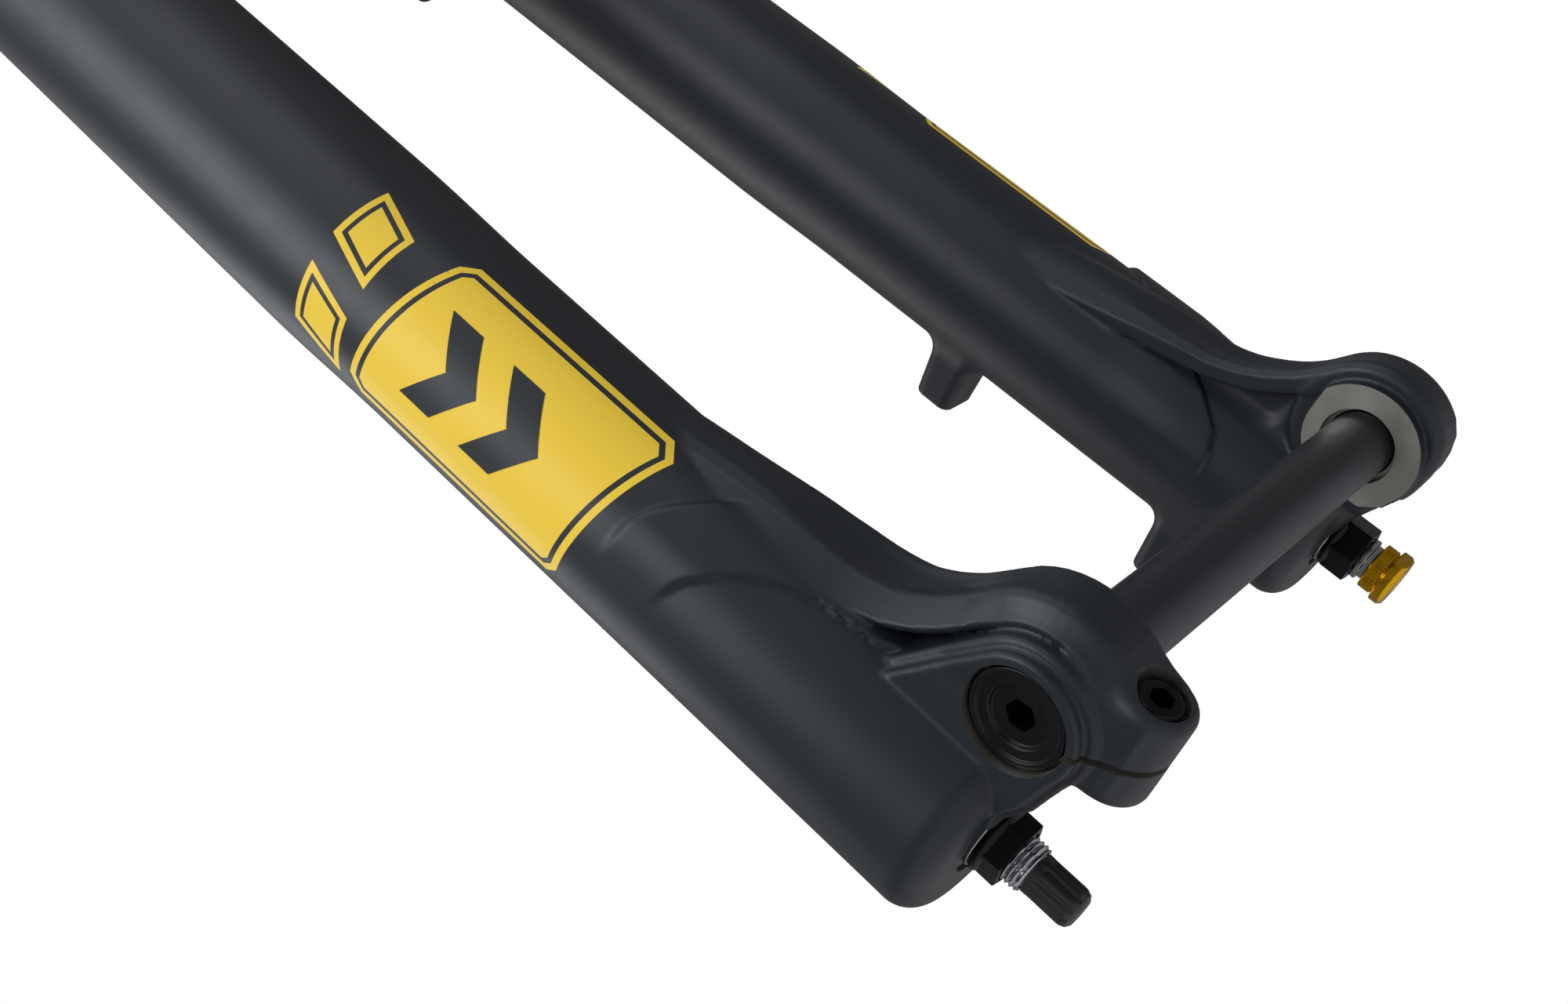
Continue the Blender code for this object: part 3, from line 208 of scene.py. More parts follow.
def move(obj, x=0.0, y=0.0, z=0.0, turn=None):
    """Turn a piece built along Z, and put it at a place in mm, in its mesh."""
    matrix = Matrix.Translation((x * MM, y * MM, z * MM))
    if turn == "outward_left":
        matrix = matrix @ Matrix.Rotation(math.pi / 2, 4, "Y")
    elif turn == "outward_right":
        matrix = matrix @ Matrix.Rotation(-math.pi / 2, 4, "Y")
    elif turn == "forward":
        matrix = matrix @ Matrix.Rotation(math.pi / 2, 4, "X")
    elif turn == "backward":
        matrix = matrix @ Matrix.Rotation(-math.pi / 2, 4, "X")
    obj.data.transform(matrix)
    return obj


def drill(radius, top, bottom):
    """(radius, height) profile of a plain round tool."""
    return [(0, top), (radius, top), (radius, bottom), (0, bottom)]


def cutter(name, profile, x=0.0, y=0.0, z=0.0, turn=None, segments=96):
    """Sharp-edged turned tool, put in its place."""
    return move(turned(name, profile, segments, rounding=0), x, y, z, turn)


def ripple(count, angle):
    """Wave from 0 to 1, count times round, for ribs and knurls."""
    return 0.5 + 0.5 * np.cos(count * angle)


def settle(obj):
    """Apply the modifiers to the mesh."""
    bpy.context.view_layer.update()
    evaluated = obj.evaluated_get(bpy.context.evaluated_depsgraph_get())
    mesh = bpy.data.meshes.new_from_object(evaluated)
    obj.modifiers.clear()
    obj.data = mesh
    return obj


def combine(obj, tools, operation, finish):
    """Cut or join closed meshes. A cut surface has its tool's finish; what has none gets this one."""
    for piece in [obj] + tools:
        if not piece.data.materials:
            piece.data.materials.append(finish)
    for tool in tools:
        modifier = obj.modifiers.new(tool.name, "BOOLEAN")
        modifier.operation = operation
        modifier.solver = "MANIFOLD"
        modifier.material_mode = "TRANSFER"
        modifier.object = tool
    settle(obj)
    for tool in tools:
        bpy.data.objects.remove(tool)
    return obj


def shade(obj, degrees=40):
    obj.data.shade_smooth()
    obj.data.set_sharp_from_angle(angle=math.radians(degrees))
    return obj


def fit(obj, body, slot, finish, *nodes, degrees=40):
    """Last step of a piece: finish, smooth shading, its body and the nodes it stands for. The slot argument
    is not used.
    """
    if not obj.data.materials:
        obj.data.materials.append(finish)
    shade(obj, degrees)
    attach(obj, body)
    if nodes:
        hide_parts(*nodes)
    return obj


# ---------------------------------------------------------------- solid forms as distance fields, in mm
def smooth_join(a, b, k):
    """Lesser of two distances, with a fillet of about k where they meet."""
    h = np.clip(0.5 + 0.5 * (b - a) / k, 0, 1)
    return b * (1 - h) + a * h - k * h * (1 - h)


def smooth_cut(a, b, k):
    """a without b, with a rounded edge."""
    return -smooth_join(-a, b, k)


def smooth_step(value, low, high):
    t = np.clip((value - low) / (high - low), 0, 1)
    return t * t * (3 - 2 * t)


def path_distance(points, a, b, closed=False):
    """Distance to a line through points; with closed, negative inside the outline."""
    best = inside = None
    pairs = zip(points, points[1:] + points[:1] if closed else points[1:])
    for (pa, pb), (qa, qb) in pairs:
        ea, eb = qa - pa, qb - pb
        wa, wb = a - pa, b - pb
        t = np.clip((wa * ea + wb * eb) / max(ea * ea + eb * eb, 1e-9), 0, 1)
        square = (wa - ea * t) ** 2 + (wb - eb * t) ** 2
        best = square if best is None else np.minimum(best, square)
        if closed and pb != qb:
            hit = ((pb > b) != (qb > b)) & (a < ea * (b - pb) / (qb - pb) + pa)
            inside = hit if inside is None else inside ^ hit
    distance = np.sqrt(best)
    return np.where(inside, -distance, distance) if closed else distance


def slab(outline_distance, height, low, high, rounding):
    """Outline extruded between two heights, edges rounded."""
    a = outline_distance + rounding
    b = np.maximum(low - height, height - high) + rounding
    return np.minimum(np.maximum(a, b), 0) + np.hypot(np.maximum(a, 0), np.maximum(b, 0)) - rounding


def curve_through(points, steps=6):
    """Smooth line through given points."""
    padded = [points[0]] + list(points) + [points[-1]]
    line = []
    for i in range(1, len(padded) - 2):
        p0, p1, p2, p3 = (np.array(p, float) for p in padded[i - 1:i + 3])
        for s in range(steps):
            t = s / steps
            q = 0.5 * (2 * p1 + (p2 - p0) * t + (2 * p0 - 5 * p1 + 4 * p2 - p3) * t * t
                       + (3 * p1 - p0 - 3 * p2 + p3) * t ** 3)
            line.append(tuple(q))
    return line + [tuple(points[-1])]


def arc(radius, start, end, steps):
    return [(radius * math.cos(math.radians(start + (end - start) * i / steps)),
             radius * math.sin(math.radians(start + (end - start) * i / steps))) for i in range(steps + 1)]


def net(form, axes, sinks=3):
    """Surface of a distance field: one point in each cell that it crosses, then slid onto it."""
    grids = np.meshgrid(*axes, indexing="ij", sparse=True)
    field = np.broadcast_to(form(*grids), tuple(len(a) for a in axes)).astype(np.float32)
    inside = field < 0
    count = np.zeros(tuple(n - 1 for n in field.shape), np.int8)
    ends = (slice(None, -1), slice(1, None))
    for i in (0, 1):
        for j in (0, 1):
            for k in (0, 1):
                count += inside[ends[i], ends[j], ends[k]]
    active = (count > 0) & (count < 8)
    cells = np.argwhere(active)
    index = np.full(count.shape, -1, np.int64)
    index[active] = np.arange(len(cells))
    total, hits = np.zeros((len(cells), 3)), np.zeros((len(cells), 1))
    for axis in range(3):
        across = [n for n in range(3) if n != axis]
        for first in (0, 1):
            for second in (0, 1):
                base = cells.copy()
                base[:, across[0]] += first
                base[:, across[1]] += second
                far = base.copy()
                far[:, axis] += 1
                f0, f1 = field[tuple(base.T)], field[tuple(far.T)]
                cross = (f0 < 0) != (f1 < 0)
                share = np.where(cross, f0 / np.where(cross, f0 - f1, 1), 0)[:, None]
                p0 = np.stack([axes[n][base[:, n]] for n in range(3)], 1)
                p1 = np.stack([axes[n][far[:, n]] for n in range(3)], 1)
                total += np.where(cross[:, None], p0 + share * (p1 - p0), 0)
                hits += cross[:, None]
    points = total / hits
    quads = []
    for axis in range(3):
        b, c = [n for n in range(3) if n != axis]
        low, high = [slice(None)] * 3, [slice(None)] * 3
        low[axis], high[axis] = ends
        for n in (b, c):
            low[n] = high[n] = slice(1, -1)
        edge = np.argwhere(inside[tuple(low)] != inside[tuple(high)])
        edge[:, [b, c]] += 1
        corner = []
        for db, dc in ((1, 1), (0, 1), (0, 0), (1, 0)):
            cell = edge.copy()
            cell[:, b] -= db
            cell[:, c] -= dc
            corner.append(index[tuple(cell.T)])
        quad = np.stack(corner, 1)
        flip = inside[tuple(edge.T)] != (axis == 1)
        quad[~flip] = quad[~flip][:, ::-1]
        quads.append(quad)
    step = 0.04
    for _ in range(sinks):
        value = form(*points.T)
        slope = np.stack([form(*(points + step * np.eye(3)[n]).T) - form(*(points - step * np.eye(3)[n]).T)
                          for n in range(3)], 1) / (2 * step)
        length = np.maximum((slope ** 2).sum(1), 0.2)
        points = points - np.clip(value / length, -0.4, 0.4)[:, None] * slope
    return points, np.concatenate(quads)


def steps_along(*stretches):
    """Grid lines: (start, end, spacing) stretches one after another."""
    lines = []
    for start, end, spacing in stretches:
        count = max(2, int(round((end - start) / spacing)))
        lines += list(np.linspace(start, end, count, endpoint=False))
    return np.array(lines + [stretches[-1][1]])


# ---------------------------------------------------------------- finishes
def linear(hex_colour):
    """sRGB hex to linear RGBA."""
    channels = [int(hex_colour[i:i + 2], 16) / 255 for i in (0, 2, 4)]
    return [c / 12.92 if c <= 0.04045 else ((c + 0.055) / 1.055) ** 2.4 for c in channels] + [1.0]


def add_node(material, kind, links=(), **settings):
    """Add a node, set its properties or inputs, and link (input name, source socket) pairs."""
    node = material.node_tree.nodes.new(kind)
    for key, value in settings.items():
        if hasattr(node, key):
            setattr(node, key, value)
        else:
            node.inputs[key.replace("_", " ")].default_value = value
    for key, source in links:
        material.node_tree.links.new(source, node.inputs[key])
    return node


def new_finish(name, metallic, roughness, **sockets):
    material = bpy.data.materials.new(name)
    material.use_nodes = True
    shader = material.node_tree.nodes["Principled BSDF"]
    shader.inputs["Metallic"].default_value = metallic
    shader.inputs["Roughness"].default_value = roughness
    for key, value in sockets.items():
        shader.inputs[key.replace("_", " ")].default_value = value
    return material, shader


def link(material, source, node, key):
    material.node_tree.links.new(source, node.inputs[key])


def per_mm(size_mm):
    """Noise scale for a pattern of that size, on coordinates in metres."""
    return 1 / (size_mm * MM)


def mottled(name, dark, light, grain_mm, roughness, spread, bump_mm, metallic=0.0, **sockets):
    """Finish with slow colour drift, uneven gloss and a fine skin."""
    material, shader = new_finish(name, metallic, roughness, **sockets)
    place = add_node(material, "ShaderNodeTexCoord").outputs["Object"]
    drift = add_node(material, "ShaderNodeTexNoise", [("Vector", place)], Detail=4.0,
                     Scale=per_mm(grain_mm * 30))
    tint = add_node(material, "ShaderNodeValToRGB", [("Fac", drift.outputs["Fac"])])
    for stop, colour in zip(tint.color_ramp.elements, (dark, light)):
        stop.color = linear(colour)
    link(material, tint.outputs["Color"], shader, "Base Color")
    gloss = add_node(material, "ShaderNodeTexNoise", [("Vector", place)], Detail=5.0,
                     Scale=per_mm(grain_mm * 8))
    reach = add_node(material, "ShaderNodeMapRange", [("Value", gloss.outputs["Fac"])],
                     To_Min=roughness - spread, To_Max=roughness + spread)
    link(material, reach.outputs["Result"], shader, "Roughness")
    grain = add_node(material, "ShaderNodeTexNoise", [("Vector", place)], Scale=per_mm(grain_mm), Detail=3.0)
    bump = add_node(material, "ShaderNodeBump", [("Height", grain.outputs["Fac"])], Strength=0.5,
                    Distance=bump_mm * MM)
    link(material, bump.outputs["Normal"], shader, "Normal")
    return material


def turned_finish(name, dark, light, pitch_mm, roughness, axis, centre, bump_mm=0.004, metallic=1.0):
    """Metal with the fine rings that a lathe leaves round an axis, and soft patches in its gloss."""
    material, shader = new_finish(name, metallic, roughness)
    spread = 0.07
    place = add_node(material, "ShaderNodeTexCoord").outputs["Object"]
    moved = add_node(material, "ShaderNodeMapping", [("Vector", place)],
                     Location=[-value * MM for value in centre])
    rings = add_node(material, "ShaderNodeTexNoise", [("Vector", moved.outputs["Vector"])], Detail=2.0,
                     Scale=per_mm(pitch_mm * 12))
    split = add_node(material, "ShaderNodeSeparateXYZ", [("Vector", moved.outputs["Vector"])])
    across = [n for n in "XYZ" if n != axis]
    flat = add_node(material, "ShaderNodeCombineXYZ", [("X", split.outputs[across[0]]),
                                                       ("Y", split.outputs[across[1]])])
    away = add_node(material, "ShaderNodeVectorMath", [(0, flat.outputs["Vector"])], operation="LENGTH")
    both = add_node(material, "ShaderNodeMath", [(0, away.outputs["Value"]), (1, split.outputs[axis])],
                    operation="ADD")
    line = add_node(material, "ShaderNodeCombineXYZ", [("X", both.outputs["Value"])])
    lathe = add_node(material, "ShaderNodeTexNoise", [("Vector", line.outputs["Vector"])], Detail=3.0,
                     Scale=per_mm(pitch_mm))
    tint = add_node(material, "ShaderNodeValToRGB", [("Fac", lathe.outputs["Fac"])])
    for stop, colour in zip(tint.color_ramp.elements, (dark, light)):
        stop.color = linear(colour)
    link(material, tint.outputs["Color"], shader, "Base Color")
    reach = add_node(material, "ShaderNodeMapRange", [("Value", rings.outputs["Fac"])],
                     To_Min=roughness - spread, To_Max=roughness + spread)
    link(material, reach.outputs["Result"], shader, "Roughness")
    bump = add_node(material, "ShaderNodeBump", [("Height", lathe.outputs["Fac"])], Strength=0.6,
                    Distance=bump_mm * MM)
    link(material, bump.outputs["Normal"], shader, "Normal")
    return material


AXLE_CENTRE = (0, AXLE_Y, AXLE_Z)
LEG_CENTRE = {LEFT: (LEG_X, LEG_Y, 0), RIGHT: (-LEG_X, LEG_Y, 0)}
# Satin charcoal enamel on cast magnesium: a soft wide sheen over a faint orange peel.
CASTING_PAINT = mottled("satin_charcoal_enamel", "1A1E23", "1E2227", 0.7, 0.47, 0.03, 0.012,
                        Specular_IOR_Level=0.36)
# Milled magnesium left bare: warm grey with cutter rings round the axle.
BARE_CASTING = turned_finish("milled_magnesium", "A09C94", "C4C0B8", 0.5, 0.42, "X", AXLE_CENTRE)
# Magnesium as bored, unpainted: a darker, duller grey than the milled faces.
BORED_METAL = turned_finish("bored_magnesium", "55524D", "77736C", 0.4, 0.45, "Z", (0, 0, 0))
# Hard-anodised axle: dark grey, satin, with turning lines too fine to see at full size, drawn at 0.25 mm.
AXLE_METAL = turned_finish("hard_anodised_axle", "34363A", "3D4045", 0.25, 0.40, "X", AXLE_CENTRE,
                           metallic=0.75)
# Axle's head, dyed black before sealing: darker and a touch glossier than the shaft.
AXLE_HEAD_METAL = turned_finish("black_anodised_axle_head", "101113", "191A1C", 0.35, 0.34, "X", AXLE_CENTRE,
                                metallic=0.6)
# Bead-blasted and black anodised aluminium: even, fine and silky.
BLACK_ANODISED = mottled("black_anodised_aluminium", "131416", "1A1B1E", 0.25, 0.36, 0.05, 0.006,
                         metallic=0.7)
# Forged crown: the same anodising on a coarser, tumbled skin.
CROWN_METAL = mottled("tumbled_black_crown", "141518", "1D1F22", 0.6, 0.40, 0.05, 0.015, metallic=0.65)
# Stanchion hard coat: near-black bronze, polished, with a hint of grinding round the tube.
STANCHION_COAT = {side: turned_finish("stanchion_hard_coat_" + word, "141210", "1D1916", 0.3, 0.16, "Z",
                                      LEG_CENTRE[side], 0.001, 0.85) for side, word in SIDES}
# Gold dye under clear anodising on turned aluminium: bright, warm and clean-edged.
GOLD = turned_finish("gold_anodised_aluminium", "C8920C", "E0AC1C", 0.2, 0.27, "Z", LEG_CENTRE[LEFT])
# Zinc-plated steel: cold, bright, a little uneven.
BRIGHT_STEEL = turned_finish("zinc_plated_steel", "8C8C90", "B4B4B8", 0.2, 0.26, "Z", LEG_CENTRE[RIGHT])
# Aluminium as turned: pale and silvery, with a soft streak round it.
BRIGHT_ALUMINIUM = turned_finish("turned_aluminium", "9B9CA0", "BDBEC2", 0.3, 0.30, "Z", LEG_CENTRE[LEFT])
# Black oxide on steel: thin and slightly oily, nearly black, its gloss a little patchy.
BLACK_OXIDE = mottled("black_oxide_steel", "0F1012", "1E1F21", 0.3, 0.34, 0.08, 0.01, metallic=0.8)
# Moulded nitrile: dull, faintly dusty.
NITRILE = mottled("nitrile_rubber", "141415", "1D1D1F", 0.5, 0.72, 0.08, 0.02)
# Moulded nylon with a fine spark-eroded skin.
NYLON = mottled("moulded_nylon", "111112", "19191B", 0.35, 0.44, 0.06, 0.02)
# Open-cell foam soaked with oil: dark grey, matt and pitted.
FOAM = mottled("oil_foam", "3F4244", "6A6D6F", 0.6, 0.92, 0.04, 0.3)
# Bushing with a low-friction liner: warm grey, dull, faintly metallic.
BUSHING = turned_finish("bushing_liner", "5D5A52", "7A766B", 0.4, 0.5, "Z", LEG_CENTRE[LEFT], metallic=0.5)
# Printed vinyl: flat warm yellow with a soft gloss.
DECAL_YELLOW = mottled("yellow_vinyl", "F3CB38", "F7D240", 0.8, 0.5, 0.04, 0.006, Specular_IOR_Level=0.3)
# The same vinyl in charcoal, for the inline and the chevrons.
DECAL_DARK = mottled("charcoal_vinyl", "23262A", "292D31", 0.8, 0.5, 0.04, 0.006, Specular_IOR_Level=0.3)


# ---------------------------------------------------------------- lower casting
# Local places round a dropout, in mm: u outward from the hub face, v forward of the axle, w above it.
LEG_FORM = ((5, 21.2), (140, 22.15), (180, 22.95), (295.5, 22.95), (311.5, 25.5))   # (w, outside radius)
LUG_R = {RIGHT: 19.5, LEFT: 17.6}
# Front edge of the strut as (v, w), from the leg down to the lug.
FRONT_LINE = [(-13.0, 104), (-10.1, 88), (-7.6, 72), (-5.9, 58), (-5.3, 48), (-4.7, 39.5), (-2.9, 32.5)]
FRONT_CURVE = {RIGHT: curve_through(FRONT_LINE + [(0.4, 27), (4.4, 22.4), (8.3, 18.9)]),
               LEFT: curve_through(FRONT_LINE + [(0.1, 26.6), (3.6, 21.4), (7.4, 17.4)])}
LUG_ARC = {RIGHT: arc(LUG_R[RIGHT], 52, -98, 20) + [(-4.4, -18.4), (-6.6, -15.6), (-8.4, -12.4)],
           LEFT: arc(LUG_R[LEFT], 54, -44, 18) + [(9.6, -14.3), (6.1, -15.2), (2.7, -15.4)]
           + arc(15.0, -86, -112, 6)}
LUG_WIDTH = {RIGHT: 14.6, LEFT: 13.2}    # lug's rim, outward from the hub face
# Underside from the lug back to the leg.
CHIN = [(-14.5, -9.4), (-20.0, -5.8), (-31.4, -3.5)]
OUTER_FACE = {RIGHT: 21.7, LEFT: 19.0}   # end face of a lug outside the hub face
RING_STEP, RING_RISE = 1.8, 2.3          # second ring: wider by this, lower by this
WEB_SLOPE = 0.13                         # the web rises this much towards the leg


def leg_radius(w):
    """Leg's outside: a slow taper, a soft knee and the collar."""
    radius = LEG_FORM[0][1] + (LEG_FORM[1][1] - LEG_FORM[0][1]) * np.clip((w - 5) / 135, 0, 1)
    for (low, small), (high, large) in ((LEG_FORM[1], LEG_FORM[2]), (LEG_FORM[3], LEG_FORM[4])):
        radius = radius + (large - small) * smooth_step(w, low, high)
    return radius


def leg_form(u, v, w):
    """Outside of a leg, with its rounded foot."""
    rounding = 6.5
    away = np.hypot(u - LEG_U, v - LEG_V)
    a = away - (leg_radius(w) - rounding)
    b = FOOT_W + rounding - w
    return np.minimum(np.maximum(a, b), 0) + np.hypot(np.maximum(a, 0), np.maximum(b, 0)) - rounding


def strut_wrap(u, v, w, leg):
    """Root of the strut: a thin raised band round the front of the leg, between two curved edges."""
    angle = np.degrees(np.arctan2(v - LEG_V, u - LEG_U))
    upper = np.interp(angle, [10, 42, 55, 75, 92, 111, 123, 150],
                      [79, 77.3, 74.6, 68.5, 62, 55.8, 49.3, 30])
    lower = np.interp(angle, [10, 25, 37, 53, 65, 73.5, 77.5, 100],
                      [65, 63.5, 61.3, 55.8, 48.8, 41.3, 28, 10])
    rise = 1.3 * smooth_step(angle, 14, 48) * (1 - smooth_step(angle, 108, 124))
    below, above = (upper - w) * 0.76, (w - lower) * 0.76
    leg = leg - rise * smooth_step(below, -0.9, 0.9) * smooth_step(above, -0.5, 0.9)
    crease = np.interp(angle, [94.5, 111, 125, 140, 153, 177], [55.6, 46.1, 36.1, 28.3, 25.6, 24.7])
    inner = 0.9 * smooth_step(angle, 86, 100) * (1 - smooth_step(angle, 160, 178))
    return leg - inner * smooth_step(w - crease, -0.5, 0.9) * (1 - smooth_step(w - crease, 8, 34))


def dropout_form(side):
    """Leg, strut, web, lug and rings of one side, as a distance field in (u, v, w)."""
    outline = FRONT_CURVE[side] + LUG_ARC[side] + CHIN + [(-31.4, 104)]
    edge_line = FRONT_CURVE[side] + LUG_ARC[side]
    tangent = math.degrees(math.acos(0.55))
    ridge_r = 12.0
    web = [(-31.4, 36.0), (-12.4, 24.4)] + arc(ridge_r, tangent, -118, 24)
    web += [(-13.5, -8.6), (-20, -5.0), (-31.4, -3)]
    slim = LUG_WIDTH[RIGHT] - LUG_WIDTH[side]
    hood_section = [(0.0, 4.8), (0.0, 11.6 - slim), (0.8, 13.7 - slim), (2.2, 14.9 - slim),
                    (4.3, 16.5 - slim),
                    (5.2, 16.0 - slim), (5.5, 10.5), (5.5, 7.2), (4.6, 3.6), (1.2, 3.4)]
    ring = arc(14.3, -105, 60, 22) + arc(12.8, 85, 200, 16) + [(-12.0, -7.6), (-8.8, -11.6)]
    root = [(-31.4, 30), (-22.6, 26.8), (-15.5, 22.8), (-9.5, 18.4), (-3, 14.5), (0, 12), (0, -12),
            (-13.2, -9.0), (-31.4, -3)]
    groove_low, groove_high = (9, 26) if side == RIGHT else (7, 50)

    def form(u, v, w):
        leg = strut_wrap(u, v, w, leg_form(u, v, w))
        flat = path_distance(outline, v, w, closed=True)
        # The rim bends round the leg above, and widens a little towards it.
        sag = 21.6 - np.sqrt(np.maximum(21.6 ** 2 - (u - LEG_U) ** 2, 60.0))
        bent = v + np.maximum(sag - 0.9, 0) * smooth_step(w, 30, 78)
        depth = path_distance(edge_line, bent, w)
        depth = depth * np.where(path_distance(outline, bent, w, closed=True) < 0, 1, -1)
        spread = 1 + 0.022 * np.clip(6 - v, 0, 17)
        span = 9 + (u - 9) / spread
        hood = path_distance(hood_section, depth, span, closed=True) - 0.35
        # Two hollows along the rim: a broad one inside and a narrow one on its edge.
        channel_fade = 1.2 * (1 - smooth_step(w, 4, 12)) + 1.2 * smooth_step(w, 48, 70)
        channel = np.hypot(depth + 9.6 + channel_fade, span - 9.2) - 10.3
        hood = smooth_cut(hood, channel, 0.5)
        middle, half = (groove_low + groove_high) / 2, (groove_high - groove_low) / 2
        bow = 1.5 * ((w - middle) / half) ** 2
        groove = np.hypot(depth + 0.2 + bow, span - 8.8) - 1.75
        hood = smooth_cut(hood, groove, 0.4)
        # The lug's thin middle, its disc, the web with two stepped rings, and the ring against the hub.
        core = slab(flat + 1.2, span, 7.0, 10.4, 0.8)
        disc = slab(np.maximum(np.hypot(v, w) - LUG_R[side], flat), u, 3.0, LUG_WIDTH[side], 1.8)
        body = smooth_join(leg, core, 1.4)
        body = smooth_join(body, hood, 1.3 - 0.9 * smooth_step(w, 60, 84))
        body = smooth_join(body, disc, 1.6)
        top = OUTER_FACE[side] + WEB_SLOPE * np.clip(-v - 1.5, 0, 14)
        web_edge = path_distance(web, v, w, closed=True)
        body = smooth_join(body, slab(web_edge - RING_STEP, u, 7.5, top - RING_RISE, 0.9), 0.9)
        body = smooth_join(body, slab(web_edge, u, 7.0, top, 0.8), 0.8)
        body = smooth_join(body, slab(path_distance(root, v, w, closed=True), u, 5.6, 12.0, 1.4), 3.0)
        hub_ring = slab(path_distance(ring, v, w, closed=True), u, -1.0, 5.0, 0.3)
        body = smooth_join(body, hub_ring, 0.5)
        if side == RIGHT:
            body = smooth_join(body, clamp_form(u, v, w), 3.2)
        else:
            for z in POST_Z:
                body = smooth_join(body, post_form(u, v, w - (z - AXLE_Z)), 4.0)
        return body

    return form


PINCH_U = -HUB_X - node_middle("pinch_bolt")[0]
PINCH_W = node_middle("pinch_bolt")[2] - AXLE_Z


def clamp_form(u, v, w):
    """Boss for the pinch bolt below the lug, flat underneath."""
    across = np.hypot(u - PINCH_U, w - PINCH_W) - 6.9
    body = slab(across, v, -6.5, 15.0, 2.0)
    shoulder = slab(np.maximum(np.abs(u - PINCH_U) - 6.2, np.abs(w + 9.0) - 8.0), v, -3.0, 14.0, 2.6)
    return smooth_join(body, shoulder, 2.5)


def post_form(u, v, w):
    """Brake post behind the leg: flat face on a block that flows down into the leg."""
    reach = AXLE_Y - POST_FACE_Y
    inward = HUB_X + u - POST_X
    deep = np.clip(v - reach, 0, 30)
    half_w, half_h = 6.5 + 0.03 * deep, 5.6 + 0.055 * deep
    a = np.maximum(np.abs(inward) - half_w + 3, 0)
    b = np.maximum(np.abs(w + 0.03 * deep) - half_h + 3, 0)
    across = np.hypot(a, b) - 3
    return slab(across, v, reach, LEG_V, 0.6)


def side_place(side, points):
    """Places in the frame, in mm, of (u, v, w) points on one side."""
    u, v, w = np.asarray(points, float).T
    return np.stack([side * (HUB_X + u), AXLE_Y - v, AXLE_Z + w], 1)


def leg_bore(side):
    """Everything bored out of a leg, below the arch piece."""
    above, floor, foot = AXLE_Z + SPLIT_W + 5, AXLE_Z + LEG_FLOOR_W, AXLE_Z + FOOT_W
    wide, narrow = STANCHION_R + BUSHING_GAP, STANCHION_R + SLIDE_GAP
    step = node_box("stanchion_left")[0][2] + 6    # the bore narrows a little above the stanchion's end
    return cutter("leg_bore", [(0, above), (wide, above), (wide, step), (narrow, step), (narrow, floor),
                               (5.5, floor), (5.5, foot + 0.8), (9.0, foot + 0.8), (9.6, foot - 5),
                               (0, foot - 5)], side * LEG_X, LEG_Y)


def dropout_cutters(side):
    """Tools that leave bare metal at a dropout: hub face, axle's bore, slit, bolt's seat, brake faces."""
    near, far = sorted((side * HUB_X, side * (HUB_X - 9)))
    cutters = [block("hub_face_tool", (near, AXLE_Y - 30, AXLE_Z - 30),
                     (far, AXLE_Y + HUB_FACE_REACH, AXLE_Z + HUB_FACE_REACH))]
    if side == RIGHT:
        recess = [(0, 40), (10.0, 40), (10.0, 15.7), (9.6, 15.7), (9.6, -5), (0, -5)]
        cutters.append(cutter("axle_recess", recess, -HUB_X, AXLE_Y, AXLE_Z, "outward_right"))
        slit = block("slit_tool", (-HUB_X - 30, -SLIT_WIDTH / 2, -24), (-HUB_X + 5, SLIT_WIDTH / 2, 0))
        slit.data.transform(Matrix.Rotation(math.radians(SLIT_LEAN), 4, "X"))
        cutters.append(move(slit, 0, AXLE_Y - 0.8, AXLE_Z - 8.5))
        seat_y = node_box("pinch_bolt")[0][1] + PINCH_HEAD
        seat = [(0, 30), (5.1, 30), (5.1, 0), (2.8, 0), (2.8, -15.4), (0, -15.4)]
        cutters.append(cutter("pinch_seat", seat, -HUB_X - PINCH_U, seat_y, AXLE_Z + PINCH_W, "forward", 48))
        return cutters
    cutters.append(cutter("axle_bore", [(0, 40), (7.8, 40), (7.8, 2.2), (8.8, 2.2), (8.8, -5), (0, -5)],
                          HUB_X, AXLE_Y, AXLE_Z, "outward_left"))
    for z in POST_Z:
        cutters.append(block("post_face_tool", (POST_X - 12, POST_FACE_Y - 0.01, z - 12),
                             (POST_X + 12, POST_FACE_Y + 9, z + 12)))
        cutters.append(cutter("post_hole", [(0, 8), (3.3, 8), (2.6, 0), (2.6, -12), (0, -12)],
                              POST_X, POST_FACE_Y - 0.5, z, "backward", 32))
    return cutters


def make_leg(side, word):
    form = dropout_form(side)
    back = -56.0 if side == RIGHT else -68.0       # the left side also takes in the brake posts
    axes = (steps_along((-9.5, 40.0, LUG_CELL)), steps_along((back, 22.0, LUG_CELL)),
            steps_along((-24.5, 110, LUG_CELL), (110, SPLIT_W + 6, TUBE_CELL)))
    points, quads = net(lambda u, v, w: np.maximum(form(u, v, w), w - SPLIT_W - 3), axes)
    if side == LEFT:
        quads = quads[:, ::-1]
    leg = mesh_object("casting_%s_leg" % word, side_place(side, points), quads)
    top = AXLE_Z + SPLIT_W
    end = block("split_tool", (side * LEG_X - 40, LEG_Y - 40, top), (side * LEG_X + 40, LEG_Y + 40, top + 20))
    combine(leg, [end], "DIFFERENCE", CASTING_PAINT)
    combine(leg, dropout_cutters(side), "DIFFERENCE", BARE_CASTING)
    combine(leg, [leg_bore(side)], "DIFFERENCE", BORED_METAL)
    return fit(leg, "lowers", "painted_casting", CASTING_PAINT, degrees=62)


